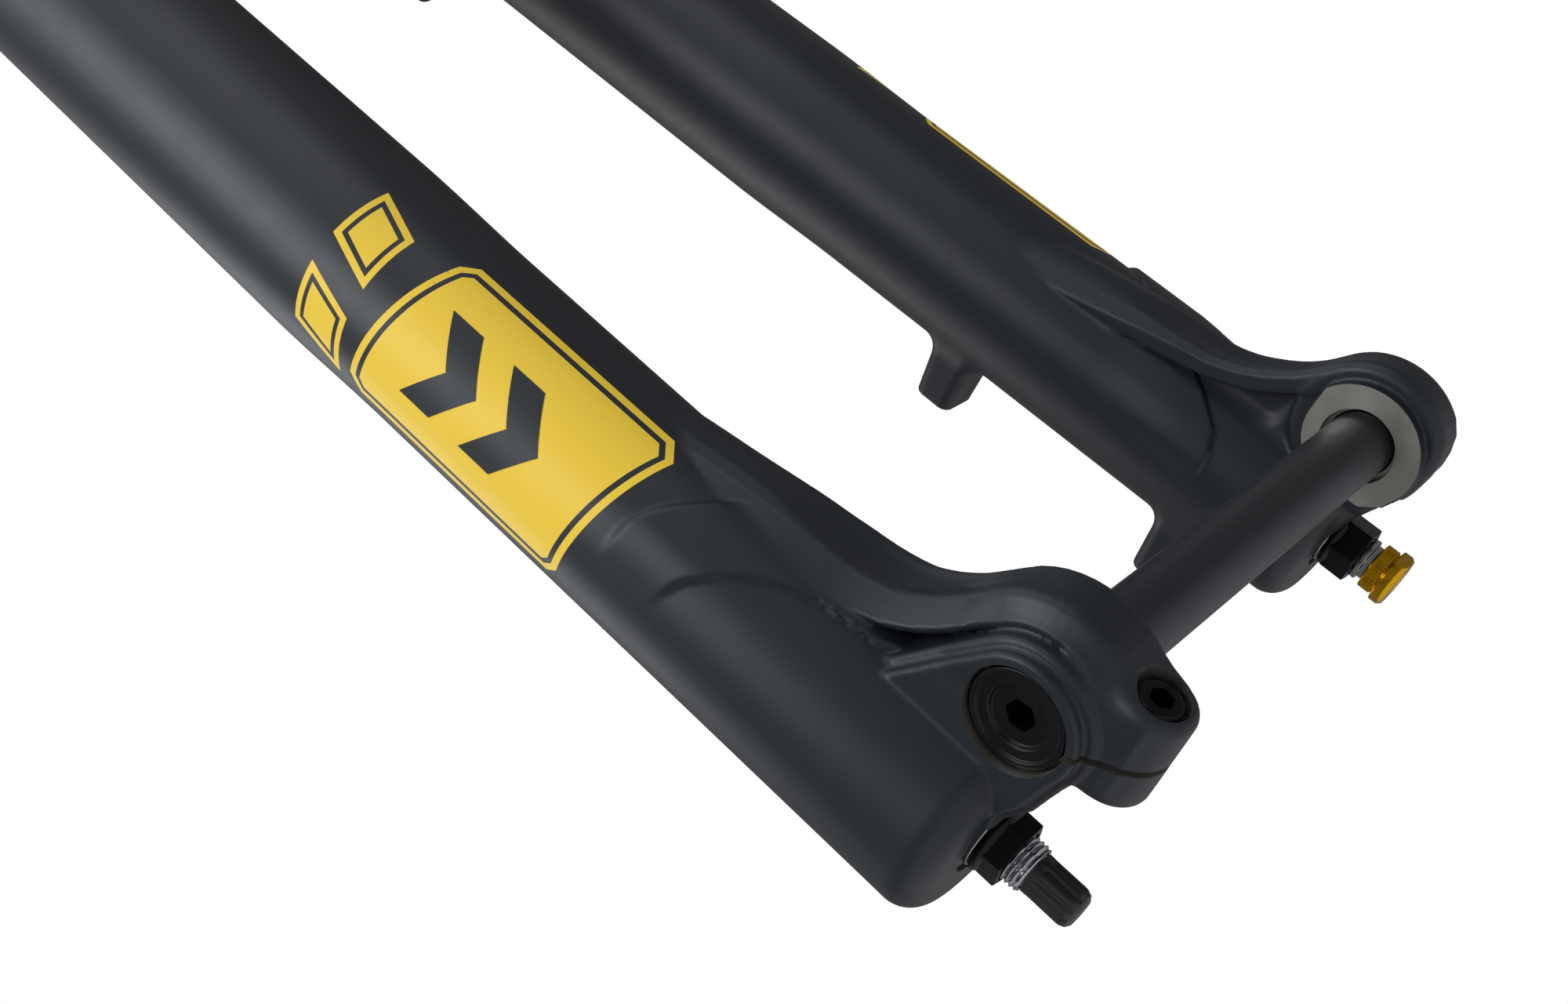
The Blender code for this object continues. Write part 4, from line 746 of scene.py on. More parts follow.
GUIDE_Z = node_middle("hose_guide")[2]
GUIDE_BASE = node_box("hose_guide")[0][1] - FIT
ARCH_TOP = node_box("lower_casting")[1][2]
ARCH_UNDER = ARCH_TOP - 22.0
ARCH_BACK = LEG_Y - STANCHION_R - FIT - 6.0 - 3.5
ARCH_FRONT = ARCH_BACK - 15.0


def arch_form(x, y, z):
    """Collars of both legs and the front arch, hollow at its back, in frame millimetres."""
    across = np.abs(x)
    leg = -smooth_join(-leg_form(across - HUB_X, AXLE_Y - y, z - AXLE_Z), LEG_TOP - z, 1.0)
    outside = curve_through([(0, ARCH_TOP), (24, ARCH_TOP - 2.2), (44, ARCH_TOP - 10), (62, ARCH_TOP - 26),
                             (76, LEG_TOP + 12), (81.5, LEG_TOP - 6), (82, LEG_TOP - 36)])
    inside = curve_through([(53, LEG_TOP - 40), (53.5, LEG_TOP - 4), (49, LEG_TOP + 12), (38, LEG_TOP + 25),
                            (21, ARCH_UNDER - 2.4), (0, ARCH_UNDER)])
    band = path_distance(outside + inside, across, z, closed=True)
    arch = slab(band, y, ARCH_FRONT, ARCH_BACK, 3.4)
    hollow = slab(band + 4.6, y, ARCH_FRONT + 5.0, ARCH_BACK + 10, 1.5)
    ribs = np.abs((across + 0.35 * (z - ARCH_TOP)) % 19.0 - 9.5) - 8.1
    arch = smooth_cut(arch, np.maximum(hollow, ribs), 1.0)
    root_outline = np.maximum(np.abs(across - LEG_X) - 11.5, np.abs(z - (LEG_TOP - 17)) - 17.0)
    root = slab(root_outline, y, ARCH_BACK - 3, LEG_Y - 12, 2.0)
    body = smooth_join(leg, root, 5.0)
    body = smooth_join(body, arch, 3.0)
    boss_outline = np.maximum(np.abs(x - LEG_X) - 5, np.abs(z - GUIDE_Z) - 6)
    body = smooth_join(body, slab(boss_outline, y, LEG_Y + 14, GUIDE_BASE, 1.0), 2.0)
    return np.maximum(np.maximum(body, z - ARCH_TOP - 2), AXLE_Z + SPLIT_W - 3 - z)


def make_arch():
    low, top = AXLE_Z + SPLIT_W, LEG_TOP
    axes = (steps_along((-97, 97, ARCH_CELL)), steps_along((ARCH_FRONT - 2, LEG_Y + 29, ARCH_CELL)),
            steps_along((low - 6, ARCH_TOP + 2, ARCH_CELL)))
    arch = mesh_object("casting_arch", *net(arch_form, axes))
    combine(arch, [block("split_tool", (-120, -90, low - 20), (120, 60, low))], "DIFFERENCE", CASTING_PAINT)
    bore, foam, seat = STANCHION_R + BUSHING_GAP, STANCHION_R + FOAM_GAP, STANCHION_R + WIPER_GAP
    bored = []
    for side, _ in SIDES:
        profile = [(0, top + 5), (seat, top + 5), (seat, top - 11), (foam, top - 11), (foam, top - 20.6),
                   (bore, top - 20.6), (bore, low - 30), (0, low - 30)]
        bored.append(cutter("collar_bore", profile, side * LEG_X, LEG_Y))
    bored.append(cutter("guide_thread", drill(1.8, 3, -4.5), LEG_X, GUIDE_BASE, GUIDE_Z, "backward", 32))
    combine(arch, bored, "DIFFERENCE", BORED_METAL)
    fit(arch, "lowers", "painted_casting", CASTING_PAINT, "lower_casting", degrees=50)


# ---------------------------------------------------------------- decals
DECAL_ANGLE = {RIGHT: 33.0, LEFT: 24.0}   # middle of the decals, round from outward towards the front
DECAL_SKIN = 0.09
STRIP_ROUND, STRIP_ALONG = 1.2, 3.7       # strips that let the flat vinyl follow the leg


def decal_panel(name, corners, side, borders, lift=0.0):
    """Vinyl shape: yellow with a charcoal inline, cut into strips and laid on the leg."""
    form = bmesh.new()
    face = form.faces.new([form.verts.new((s, w, 0)) for s, w in corners])
    form.normal_update()
    for i, width in enumerate(borders):
        made = bmesh.ops.inset_region(form, faces=[face], thickness=width, use_even_offset=True,
                                       use_boundary=True)
        for border in made["faces"]:
            border.material_index = i
    face.material_index = 0 if borders else 1
    cuts = [((s, 0, 0), (1, 0, 0)) for s in np.arange(-30, 30, STRIP_ROUND)]
    cuts += [((0, w, 0), (0, 1, 0)) for w in np.arange(74.1, 172, STRIP_ALONG)]
    for place, normal in cuts:
        geometry = form.verts[:] + form.edges[:] + form.faces[:]
        bmesh.ops.bisect_plane(form, geom=geometry, dist=1e-5, plane_co=place, plane_no=normal)
    bmesh.ops.triangulate(form, faces=[f for f in form.faces if len(f.verts) > 4])
    for vert in form.verts:
        s, w, _ = vert.co
        radius = float(leg_radius(np.float64(w))) + 0.01 + lift
        angle = math.radians(DECAL_ANGLE[side]) + s / radius
        x, y = side * (LEG_X + radius * math.cos(angle)), LEG_Y - radius * math.sin(angle)
        vert.co = Vector((x, y, AXLE_Z + w)) * MM
    if side == RIGHT:
        bmesh.ops.reverse_faces(form, faces=form.faces)
    mesh = bpy.data.meshes.new(name)
    form.to_mesh(mesh)
    form.free()
    panel = bpy.data.objects.new(name, mesh)
    bpy.context.scene.collection.objects.link(panel)
    for finish in (DECAL_YELLOW, DECAL_DARK):
        mesh.materials.append(finish)
    skin = panel.modifiers.new("skin", "SOLIDIFY")
    skin.thickness, skin.offset = DECAL_SKIN * MM, 1.0
    settle(panel)
    fit(panel, "lowers", "decal_vinyl", DECAL_YELLOW)


def make_decals(side, word):
    """A slanted panel with two chevrons, and two small bars above it."""
    half, low, high = 20.6, 79.8, 149.8
    panel = [(-half, high - 3), (-half, low + 10), (-half + 3, low + 7), (half - 4, low), (half, low + 4),
             (half, high - 10), (half - 3, high - 7), (-half + 4, high)]
    decal_panel("decal_panel_" + word, panel, side, (1.6, 1.2))
    reach, rise, stroke = 10, 8, 9
    for i, start in enumerate((100.0, 118.0)):
        chevron = [(-reach, start + rise), (0, start), (reach, start + rise), (reach, start + rise + stroke),
                   (0, start + stroke), (-reach, start + rise + stroke)]
        decal_panel("decal_chevron_%d_%s" % (i + 1, word), chevron, side, (), DECAL_SKIN)
    bottom, top, width, slant = 153.5, 167.5, 14, 4.5
    for i, start in enumerate((-20.0, 1.0)):
        small_bar = [(start, bottom), (start + width, bottom), (start + width + slant, top),
                     (start + slant, top)]
        decal_panel("decal_bar_%d_%s" % (i + 1, word), small_bar, side, (1.5, 1.1))


# ---------------------------------------------------------------- axle and pinch bolt
def make_axle():
    low, high = node_box("axle")
    head_end, tail = -HUB_X - low[0] + 0.6, -HUB_X - high[0]
    head_r, shaft_r, bore = 9.3, 7.5, 4.5
    profile = [(0, head_end - 1.4), (5.6, head_end - 1.4), (6.0, head_end - 0.5), (8.0, head_end - 0.5),
               (8.2, head_end), (head_r, head_end), (head_r, 3.0), (shaft_r, 2.2), (shaft_r, tail + 1.4),
               (shaft_r - 1.2, tail), (bore, tail), (bore, 2), (0, 4)]
    axle = turned("through_axle", profile, 128, rounding=0.25)
    for finish in (AXLE_METAL, AXLE_HEAD_METAL):
        axle.data.materials.append(finish)
    for face in axle.data.polygons:
        face.material_index = 1 if face.center.z > 3.2 * MM else 0
    combine(axle, [bar("axle_key", 5.4, head_end + 5, head_end - 8, turn=0.2)], "DIFFERENCE", AXLE_HEAD_METAL)
    move(axle, -HUB_X, AXLE_Y, AXLE_Z, "outward_right")
    return fit(axle, "axle_body", "axle_anodised", AXLE_METAL, "axle", degrees=35)


def make_pinch_bolt():
    low, high = node_box("pinch_bolt")
    head_r, length = (high[0] - low[0]) / 2, high[1] - low[1]
    profile = [(0, 0), (head_r - 0.6, 0), (head_r, -0.6), (head_r, -PINCH_HEAD), (2.5, -PINCH_HEAD),
               (2.5, -length), (0, -length)]

    def knurl(angle, radius, height):
        band = (height < -1.0) & (height > -PINCH_HEAD + 0.3) & (radius > head_r - 0.3)
        return radius - band * 0.12 * ripple(36, angle)

    bolt = turned("pinch_screw", profile, 144, knurl, rounding=0.2)
    combine(bolt, [bar("pinch_key", 4.0, 3, -2.8, turn=0.35)], "DIFFERENCE", BLACK_OXIDE)
    middle = node_middle("pinch_bolt")
    move(bolt, middle[0], low[1], middle[2], "forward")
    return fit(bolt, "pinch_bolt_body", "black_steel", BLACK_OXIDE, "pinch_bolt")


# ---------------------------------------------------------------- feet of the legs
def screw_thread(name, radius, pitch, top, bottom, bore):
    """Closed steel tube with a real helical thread outside, fading out at both ends."""
    around, per_turn = 64, 8
    rows = int((top - bottom) / pitch * per_turn)
    angles = np.linspace(0, 2 * math.pi, around, endpoint=False)
    heights = np.linspace(top, bottom, rows + 1)
    phase = (heights[:, None] / pitch + angles[None, :] / (2 * math.pi)) % 1.0
    fade = np.clip(np.minimum(top - heights, heights - bottom) / pitch, 0, 1)[:, None]
    depth = 0.55 * pitch * (1 - np.abs(2 * phase - 1)) * (0.35 + 0.65 * fade)
    outer = radius - depth - 0.3 * pitch * (1 - fade)

    def circle(radii, height):
        return np.stack([radii * np.cos(angles), radii * np.sin(angles), np.full(around, height)], 1)

    rings = [circle(outer[i], heights[i]) for i in range(rows + 1)]
    rings += [circle(bore, bottom), circle(bore, top)]
    count = len(rings)
    faces = [(i * around + k, ((i + 1) % count) * around + k, ((i + 1) % count) * around + (k + 1) % around,
              i * around + (k + 1) % around) for i in range(count) for k in range(around)]
    thread = mesh_object(name, np.concatenate(rings), faces)
    thread.data.materials.append(BRIGHT_STEEL)
    return thread


def foot_nut(name, node, side, across):
    """Flanged nut with chamfered corners."""
    low, high = node_box(node)
    top, bottom = high[2], low[2]
    nut = bar(name, across, top - 1.2, bottom, turn=math.radians(13))
    outside = across / 2 / math.cos(math.pi / 6) + 2
    chamfer = cutter("nut_chamfer", [(0, top + 1), (outside, top + 1), (outside, bottom + 0.9),
                                     (across / 2 - 0.2, bottom), (0, bottom)], segments=64)
    combine(nut, [chamfer], "INTERSECT", BLACK_OXIDE)
    flange = turned("nut_flange", [(0, top), (NUT_FLANGE_R, top), (NUT_FLANGE_R, top - 1.0), (6.4, top - 2.0),
                                   (0, top - 2.0)], 64)
    combine(nut, [flange], "UNION", BLACK_OXIDE)
    bore = cutter("nut_bore", [(0, top + 1), (NUT_BORE_R, top + 1), (NUT_BORE_R, bottom + 0.7),
                               (5.8, bottom - 1), (0, bottom - 1)], segments=64)
    combine(nut, [bore], "DIFFERENCE", BLACK_OXIDE)
    move(nut, side * LEG_X, LEG_Y)
    return fit(nut, "lowers", "black_steel", BLACK_OXIDE, node)


def make_washer(name, node, side):
    low, high = node_box(node)
    washer = turned(name, [(NUT_FLANGE_R, high[2]), (NUT_FLANGE_R, low[2]), (NUT_BORE_R, low[2]),
                           (NUT_BORE_R, high[2])], 64, rounding=0.2)
    move(washer, side * LEG_X, LEG_Y)
    return fit(washer, "lowers", "bare_aluminium", BRIGHT_ALUMINIUM, node)


def make_shaft_ends():
    """Air shaft and damper shaft, with their threaded feet."""
    low, high = node_box("air_shaft")
    floor = AXLE_Z + LEG_FLOOR_W + FIT
    thread_end = node_box("ramp_valve_cap")[1][2] + FIT
    air = turned("air_shaft_tube", [
        (8.5, high[2]), (8.5, floor), (4.2, floor), (4.2, thread_end + 1), (3.4, thread_end), (3.4, low[2]),
        (2.3, low[2]), (2.3, floor + 6), (7.1, floor + 8), (7.1, high[2])], 64)
    thread = screw_thread("air_thread", THREAD_R, THREAD_PITCH, floor, thread_end, 4.0)
    combine(air, [thread], "UNION", BRIGHT_ALUMINIUM)
    move(air, -LEG_X, LEG_Y)
    fit(air, "lowers", "bare_aluminium", BRIGHT_ALUMINIUM, "air_shaft", degrees=30)
    low, high = node_box("damper_shaft")
    nut_end = node_box("damper_foot_nut")[0][2]
    damper = turned("damper_shaft_rod", [
        (5.0, high[2]), (5.0, floor + 6), (8.5, floor + 6), (8.5, floor), (4.2, floor), (4.2, nut_end - 0.2),
        (5.0, nut_end - 0.3), (5.3, nut_end - 0.5), (5.3, nut_end - 1.5), (4.4, nut_end - 1.7), (4.4, low[2]),
        (2.1, low[2]), (2.1, high[2])], 64, rounding=0.15)
    thread = screw_thread("damper_thread", THREAD_R, THREAD_PITCH, floor, nut_end - FIT, 4.0)
    combine(damper, [thread], "UNION", BRIGHT_STEEL)
    move(damper, LEG_X, LEG_Y)
    fit(damper, "lowers", "bright_steel", BRIGHT_STEEL, "damper_shaft", degrees=30)


def make_ramp_cap():
    """Valve cap with moulded grip ribs and a domed end."""
    low, high = node_box("ramp_valve_cap")
    top, bottom = high[2], low[2]
    radius, hollow = 4.1, 3.7
    inside = bottom + 2.2

    def ribs(angle, r, z):
        band = smooth_step(z, bottom + 0.6, bottom + 2.2) * (1 - smooth_step(z, top - 1.6, top - 1.0))
        return np.where(r > hollow, r - band * 0.45 * ripple(10, angle) ** 2, r)

    rise = [top - 1.2 - 0.5 * i for i in range(1, 15)]
    profile = [(0, inside), (hollow, inside), (hollow, top), (radius, top), (radius, top - 1.0)]
    profile += [(radius, z) for z in rise if z > bottom + 1.9]
    profile += [(radius - 0.05, bottom + 1.6), (3.6, bottom + 0.6), (2.7, bottom), (0, bottom)]
    cap = turned("ramp_cap", profile, 120, ribs, rounding=0)
    move(cap, -LEG_X, LEG_Y)
    return fit(cap, "ramp_valve_lid", "plastic", NYLON, "ramp_valve_cap")


def make_rebound_knob():
    """Rod with a knurled collar, a groove and a grip with two flats."""
    low, high = node_box("rebound_knob")
    top, bottom = node_box("damper_shaft")[0][2] - FIT, low[2]
    collar_r, grip_r, flat = 5.9, 6.8, 6.0

    def knurl(angle, r, z):
        band = (z < top - 0.5) & (z > top - 3.1) & (r > 5.4)
        return r - band * 0.22 * ripple(40, angle)

    profile = [(0, high[2]), (1.8, high[2]), (1.8, top)]
    profile += [(collar_r, top - drop) for drop in (0, 0.9, 1.7, 2.6, 3.1)]
    profile += [(5.5, top - 3.2), (5.5, top - 3.5), (grip_r, top - 3.8), (grip_r, bottom + 0.9),
                (6.1, bottom), (3.0, bottom), (2.6, bottom + 0.4), (0, bottom + 0.4)]
    knob = turned("rebound_dial", profile, 160, knurl, rounding=0.18)
    flats = [block("knob_flat", (-12, flat, bottom - 2), (12, 12, top - 3.8)),
             block("knob_flat_back", (-12, -12, bottom - 2), (12, -flat, top - 3.8))]
    combine(knob, flats, "DIFFERENCE", GOLD)
    move(knob, LEG_X, LEG_Y)
    return fit(knob, "rebound_adjuster", "gold_anodised", GOLD, "rebound_knob", degrees=35)


# ---------------------------------------------------------------- stanchions, wipers, sag ring
def make_stanchion(side, word):
    low, high = node_box("stanchion_" + word)
    bore = STANCHION_R - 1.9
    tube = turned("stanchion_tube_" + word, [
        (STANCHION_R, high[2]), (STANCHION_R, low[2] + 1), (STANCHION_R - 1, low[2]), (bore, low[2]),
        (bore, high[2])], 128)
    move(tube, side * LEG_X, LEG_Y)
    fit(tube, "upper", "stanchion_coat", STANCHION_COAT[side], "stanchion_" + word)


def round_section(middle, height, radius, count):
    """Round (radius, height) section of a wire, running down its outer side."""
    turns = np.linspace(0, 2 * math.pi, count, False)
    return [(middle + radius * math.cos(a), height - radius * math.sin(a)) for a in turns]


def make_wiper(side, word):
    """Rubber wiper with a lip, and the garter spring that presses the lip to the stanchion."""
    low, high = node_box("dust_wiper_" + word)
    top, seat, base = high[2], low[2], LEG_TOP + FIT
    r = STANCHION_R
    flange = (high[0] - low[0]) / 2
    wiper = turned("wiper_lip_" + word, [
        (r + 1.0, top), (r + 3.0, top - 0.5), (r + 3.0, top - 1.2), (r + 2.2, top - 1.4),
        (r + 2.2, top - 2.8), (r + 3.6, top - 3.0), (flange, top - 3.4), (flange, base), (r + 4.4, base),
        (r + 4.4, seat), (r + 1.8, seat), (r + 1.8, LEG_TOP), (r + FIT, LEG_TOP + 1),
        (r + FIT, top)], 128, rounding=0.25)
    move(wiper, side * LEG_X, LEG_Y)
    fit(wiper, "lowers", "rubber", NITRILE, "dust_wiper_" + word)
    coil_r, coils = 0.5, 150
    middle = r + 2.2 + 0.15 + coil_r

    def coil(angle, radius, _):
        return radius + 0.16 * (radius - middle) / coil_r * np.cos(coils * angle)

    section = round_section(middle, top - 2.1, coil_r, 8)
    spring = turned("garter_spring_" + word, section, coils * 4, coil, rounding=0)
    move(spring, side * LEG_X, LEG_Y)
    fit(spring, "lowers", "bright_steel", BRIGHT_STEEL, "wiper_spring_" + word, degrees=80)


def make_sag_ring():
    low, high = node_box("sag_ring")
    wire = (high[2] - low[2]) / 2
    section = round_section(STANCHION_R + FIT + wire, low[2] + wire, wire, 16)
    ring = turned("sag_marker_ring", section, 128, rounding=0)
    move(ring, -LEG_X, LEG_Y)
    fit(ring, "sag_marker", "rubber", NITRILE, "sag_ring")


# ---------------------------------------------------------------- crown, steerer and top controls
CROWN_LOW, CROWN_HIGH = node_box("crown")
CROWN_SOCKET_R = CROWN_HIGH[0] - LEG_X
CROWN_SOCKET_TOP = -8.0
CROWN_HUB_R = 26.3
CAP_FACE = node_box("damper_top_cap")[1][2]


def crown_form(x, y, z):
    """Forged crown: two sockets and a steerer hub on a waisted bridge, hollowed below."""
    across = np.abs(x)
    top, low = CROWN_SOCKET_TOP, CROWN_LOW[2]
    socket = slab(np.hypot(across - LEG_X, y - LEG_Y) - CROWN_SOCKET_R, z, low, top, 1.8)
    hub = slab(np.hypot(x, y) - CROWN_HUB_R, z, -27.5, 0.0, 2.6)
    waist = 19.8 - 3.2 * smooth_step(across, 18, 45) + 2.0 * smooth_step(across, 50, 66)
    bridge_line = [(0, -1.0), (30, -1.4), (50, -8.2), (74, -11), (74, low + 4)]
    under = curve_through([(74, low + 2.5), (50, low + 2.5), (45, low + 8), (30, -33.5), (12, -28.4),
                           (0, -27.8)], 4)
    side_view = path_distance(bridge_line + under, across, z, closed=True)
    bridge = slab(side_view, y - LEG_Y, -waist, waist, 3.2)
    body = smooth_join(socket, bridge, 4.0)
    body = smooth_join(body, hub, 4.0)
    pocket = slab(np.abs(across - 37) - 9.5 + 0.2 * np.abs(z + 22), y - LEG_Y, -10.5, 10.5, 3.0)
    return smooth_cut(body, np.maximum(pocket, z + 19 + 0.32 * (across - 30)), 2.0)


def make_crown():
    axes = [steps_along((low - 2, high + 2, ARCH_CELL)) for low, high in zip(CROWN_LOW, CROWN_HIGH)]
    crown = mesh_object("crown_forging", *net(crown_form, axes))
    bores = [cutter("socket_bore", drill(STANCHION_R + FIT, 10, -70), side * LEG_X, LEG_Y, segments=128)
             for side, _ in SIDES]
    low, high = node_box("steerer_tube")
    bores.append(cutter("steerer_bore", drill((high[0] - low[0]) / 2 + FIT, 10, -50), segments=128))
    combine(crown, bores, "DIFFERENCE", CROWN_METAL)
    fit(crown, "upper", "black_anodised", CROWN_METAL, "crown", degrees=50)


def make_steerer():
    """Tapered tube with cutting marks near its top."""
    low, high = node_box("steerer_tube")
    base, top = (high[0] - low[0]) / 2, high[2]
    tip, mark_depth, marks, mark_pitch = 14.3, 0.15, 6, 10
    profile = [(tip, top)]
    for i in range(marks):
        level = top - 60 - mark_pitch * i
        profile += [(tip, level + 0.25), (tip - mark_depth, level + 0.1), (tip - mark_depth, level - 0.1),
                    (tip, level - 0.25)]
    profile += [(tip, 85), (16.4, 50), (base - 1.2, 14), (base, 10), (base, low[2]), (base - 3.4, low[2]),
                (base - 3.4, 10), (12.0, 85), (12.0, top)]
    tube = turned("steerer_shell", profile, 128, rounding=0.3)
    fit(tube, "upper", "black_anodised", BLACK_ANODISED, "steerer_tube", degrees=25)


def make_top_cap(name, node, side, above, inside):
    """Top cap: a hole or a stem above, a flange with wrench notches, and a spigot in the stanchion."""
    foot, face = node_box(node)[0][2], CAP_FACE
    spigot, flange = STANCHION_R - 2.2, STANCHION_R + 1.2
    rim = [(14.0, face), (14.4, face - 0.6), (flange - 1.4, face - 0.6), (flange, face - 1.8),
           (flange, face - 4.0), (spigot, face - 4.0), (spigot, foot)]
    cap = turned(name, above + rim + inside, 96, rounding=0.3)
    notch_at = flange - 0.4
    notches = [cutter("cap_notch", drill(1.5, face + 1, face - 1.6), notch_at * math.cos(a),
                      notch_at * math.sin(a), segments=32) for a in np.linspace(0, 2 * math.pi, 8, False)]
    combine(cap, notches, "DIFFERENCE", BLACK_ANODISED)
    move(cap, side * LEG_X, LEG_Y)
    fit(cap, "upper", "black_anodised", BLACK_ANODISED, node)


def make_top_caps():
    """Left: cap of the damper. Right: cap of the air spring, with its valve stem."""
    shank, stem, bore = 5.2, 3.9, 2.6
    foot = node_box("damper_top_cap")[0][2]
    make_top_cap("damper_cap", "damper_top_cap", LEFT, [(shank, CAP_FACE)], [(shank, foot)])
    low, high = node_box("air_top_cap")
    above = [(stem - 0.5, high[2]), (stem, high[2] - 0.6), (stem, CAP_FACE)]
    make_top_cap("air_cap", "air_top_cap", RIGHT, above, [(bore, low[2]), (bore, high[2])])


def make_lever_and_knob():
    """Compression controls: a ribbed ring with a blade, and a fluted gold knob on it."""
    low, high = node_box("high_speed_lever")
    bottom, top, ring_r = CAP_FACE + FIT, high[2], 13.0

    def ribs(angle, r, z):
        return r - ((r > 11.5) & (z < top - 1)) * 0.35 * ripple(30, angle)

    lever = turned("compression_lever", [
        (11.2, top), (ring_r, top - 1.4), (ring_r, bottom), (4.9, bottom), (4.9, low[2]), (3.0, low[2]),
        (3.0, top)], 128, ribs, rounding=0.3)
    blade = block("lever_blade", (-3.5, low[1] - LEG_Y, bottom), (3.5, -10.5, top), 1.0)
    combine(lever, [blade], "UNION", BLACK_ANODISED)
    move(lever, LEG_X, LEG_Y)
    fit(lever, "high_speed_adjuster", "black_anodised", BLACK_ANODISED, "high_speed_lever")
    bottom = high[2] + FIT
    low, high = node_box("low_speed_knob")
    top, knob_r, flute_at = high[2], 9.0, 10.2
    knob = turned("compression_knob", [
        (0, top - 0.5), (5.5, top - 0.5), (6.0, top), (8.2, top), (knob_r, top - 0.8), (knob_r, bottom),
        (2.7, bottom), (2.7, low[2]), (0, low[2])], 96, rounding=0.25)
    flutes = [cutter("knob_flute", drill(2.2, top + 2, bottom - 0.15), flute_at * math.cos(math.radians(a)),
                     flute_at * math.sin(math.radians(a)), segments=40) for a in range(30, 390, 60)]
    combine(knob, flutes, "DIFFERENCE", GOLD)
    move(knob, LEG_X, LEG_Y)
    fit(knob, "low_speed_adjuster", "gold_anodised", GOLD, "low_speed_knob")


def make_valve_cover():
    """Screwed cover of the main air valve, with grip ribs."""
    low, high = node_box("main_valve_cover")
    bottom, top = low[2], high[2]
    roof = node_box("air_top_cap")[1][2] + FIT
    outside, inside = 10.5, 4.2

    def ribs(angle, r, z):
        return r - ((r > 9.5) & (z < top - 1.8) & (z > bottom + 1.0)) * 0.5 * ripple(24, angle) ** 2

    cover = turned("valve_cover", [
        (0, top), (8.4, top), (outside, top - 1.8), (outside, top - 2.0), (outside, bottom + 1.1),
        (outside, bottom + 0.9), (outside, bottom), (inside, bottom), (inside, roof), (0, roof)], 192, ribs,
        rounding=0.3)
    move(cover, -LEG_X, LEG_Y)
    fit(cover, "main_valve_lid", "black_anodised", BLACK_ANODISED, "main_valve_cover")


# ---------------------------------------------------------------- brake hose guide
def make_hose_guide():
    """Moulded clip with a screw through its tab."""
    low, high = node_box("hose_guide")
    bore, ring_r, half_height, tab_thick = 3.4, 5.2, 5, 2.5
    centre_x, centre_y = low[0] + ring_r, low[1] + ring_r
    guide = turned("hose_clip", [(ring_r, half_height), (ring_r, -half_height), (bore, -half_height),
                                 (bore, half_height)], 64, rounding=0.8)
    tab = block("clip_tab", (bore + 0.8, -ring_r, -half_height),
                (high[0] - centre_x, -ring_r + tab_thick, half_height), 0.6)
    combine(guide, [tab], "UNION", NYLON)
    hole = cutter("clip_hole", drill(1.8, 9, -9), LEG_X - centre_x, -ring_r, 0, "forward", 32)
    combine(guide, [hole], "DIFFERENCE", NYLON)
    move(guide, centre_x, centre_y, GUIDE_Z)
    fit(guide, "lowers", "plastic", NYLON, "hose_guide")
    screw = turned("clip_screw", [(0, 2.0), (2.2, 2.0), (2.7, 1.2), (2.7, 0), (1.5, 0), (1.5, -5.8),
                                  (0, -5.8)], 48, rounding=0.2)
    combine(screw, [bar("clip_key", 2.0, 4, 0.8)], "DIFFERENCE", BLACK_OXIDE)
    move(screw, LEG_X, low[1] + tab_thick + FIT, GUIDE_Z, "backward")
    fit(screw, "lowers", "black_steel", BLACK_OXIDE, "hose_guide_screw")


# ---------------------------------------------------------------- pieces inside, which keep their own shape
INNER_FINISH = {
    "air_cap_seal": NITRILE, "damper_cap_seal": NITRILE, "air_piston_seal": NITRILE, "ramp_up_seal": NITRILE,
    "top_out_bumper": NITRILE, "main_valve_core": BRIGHT_STEEL, "ramp_valve_core": BRIGHT_STEEL,
    "air_seal_clip": BRIGHT_STEEL, "top_out_spring": BRIGHT_STEEL, "cartridge_tube": BRIGHT_ALUMINIUM,
    "damper_inner_tube": BRIGHT_ALUMINIUM, "air_piston": BRIGHT_ALUMINIUM, "compression_valve": GOLD,
    "rebound_piston": GOLD, "piston_glide_ring": NYLON, "ramp_up_piston": NYLON,
    "damper_seal_head": BLACK_ANODISED, "air_seal_head": BLACK_ANODISED, "foam_ring_left": FOAM,
    "foam_ring_right": FOAM, "bushing_upper_left": BUSHING, "bushing_lower_left": BUSHING,
    "bushing_upper_right": BUSHING, "bushing_lower_right": BUSHING}


def finish_inner_pieces():
    for node, finish in INNER_FINISH.items():
        mesh = frame["nodes"][node].data
        mesh.materials.clear()
        mesh.materials.append(finish)


# ---------------------------------------------------------------- assembly
for leg_side, leg_word in SIDES:
    make_leg(leg_side, leg_word)
    make_decals(leg_side, leg_word)
    make_stanchion(leg_side, leg_word)
    make_wiper(leg_side, leg_word)
make_arch()
make_axle()
make_pinch_bolt()
foot_nut("air_nut", "air_foot_nut", RIGHT, 12.0)
foot_nut("damper_nut", "damper_foot_nut", LEFT, 13.0)
make_washer("air_washer", "air_foot_nut_washer", RIGHT)
make_washer("damper_washer", "damper_foot_nut_washer", LEFT)
make_shaft_ends()
make_ramp_cap()
make_rebound_knob()
make_sag_ring()
make_crown()
make_steerer()
make_top_caps()
make_lever_and_knob()
make_valve_cover()
make_hose_guide()
finish_inner_pieces()

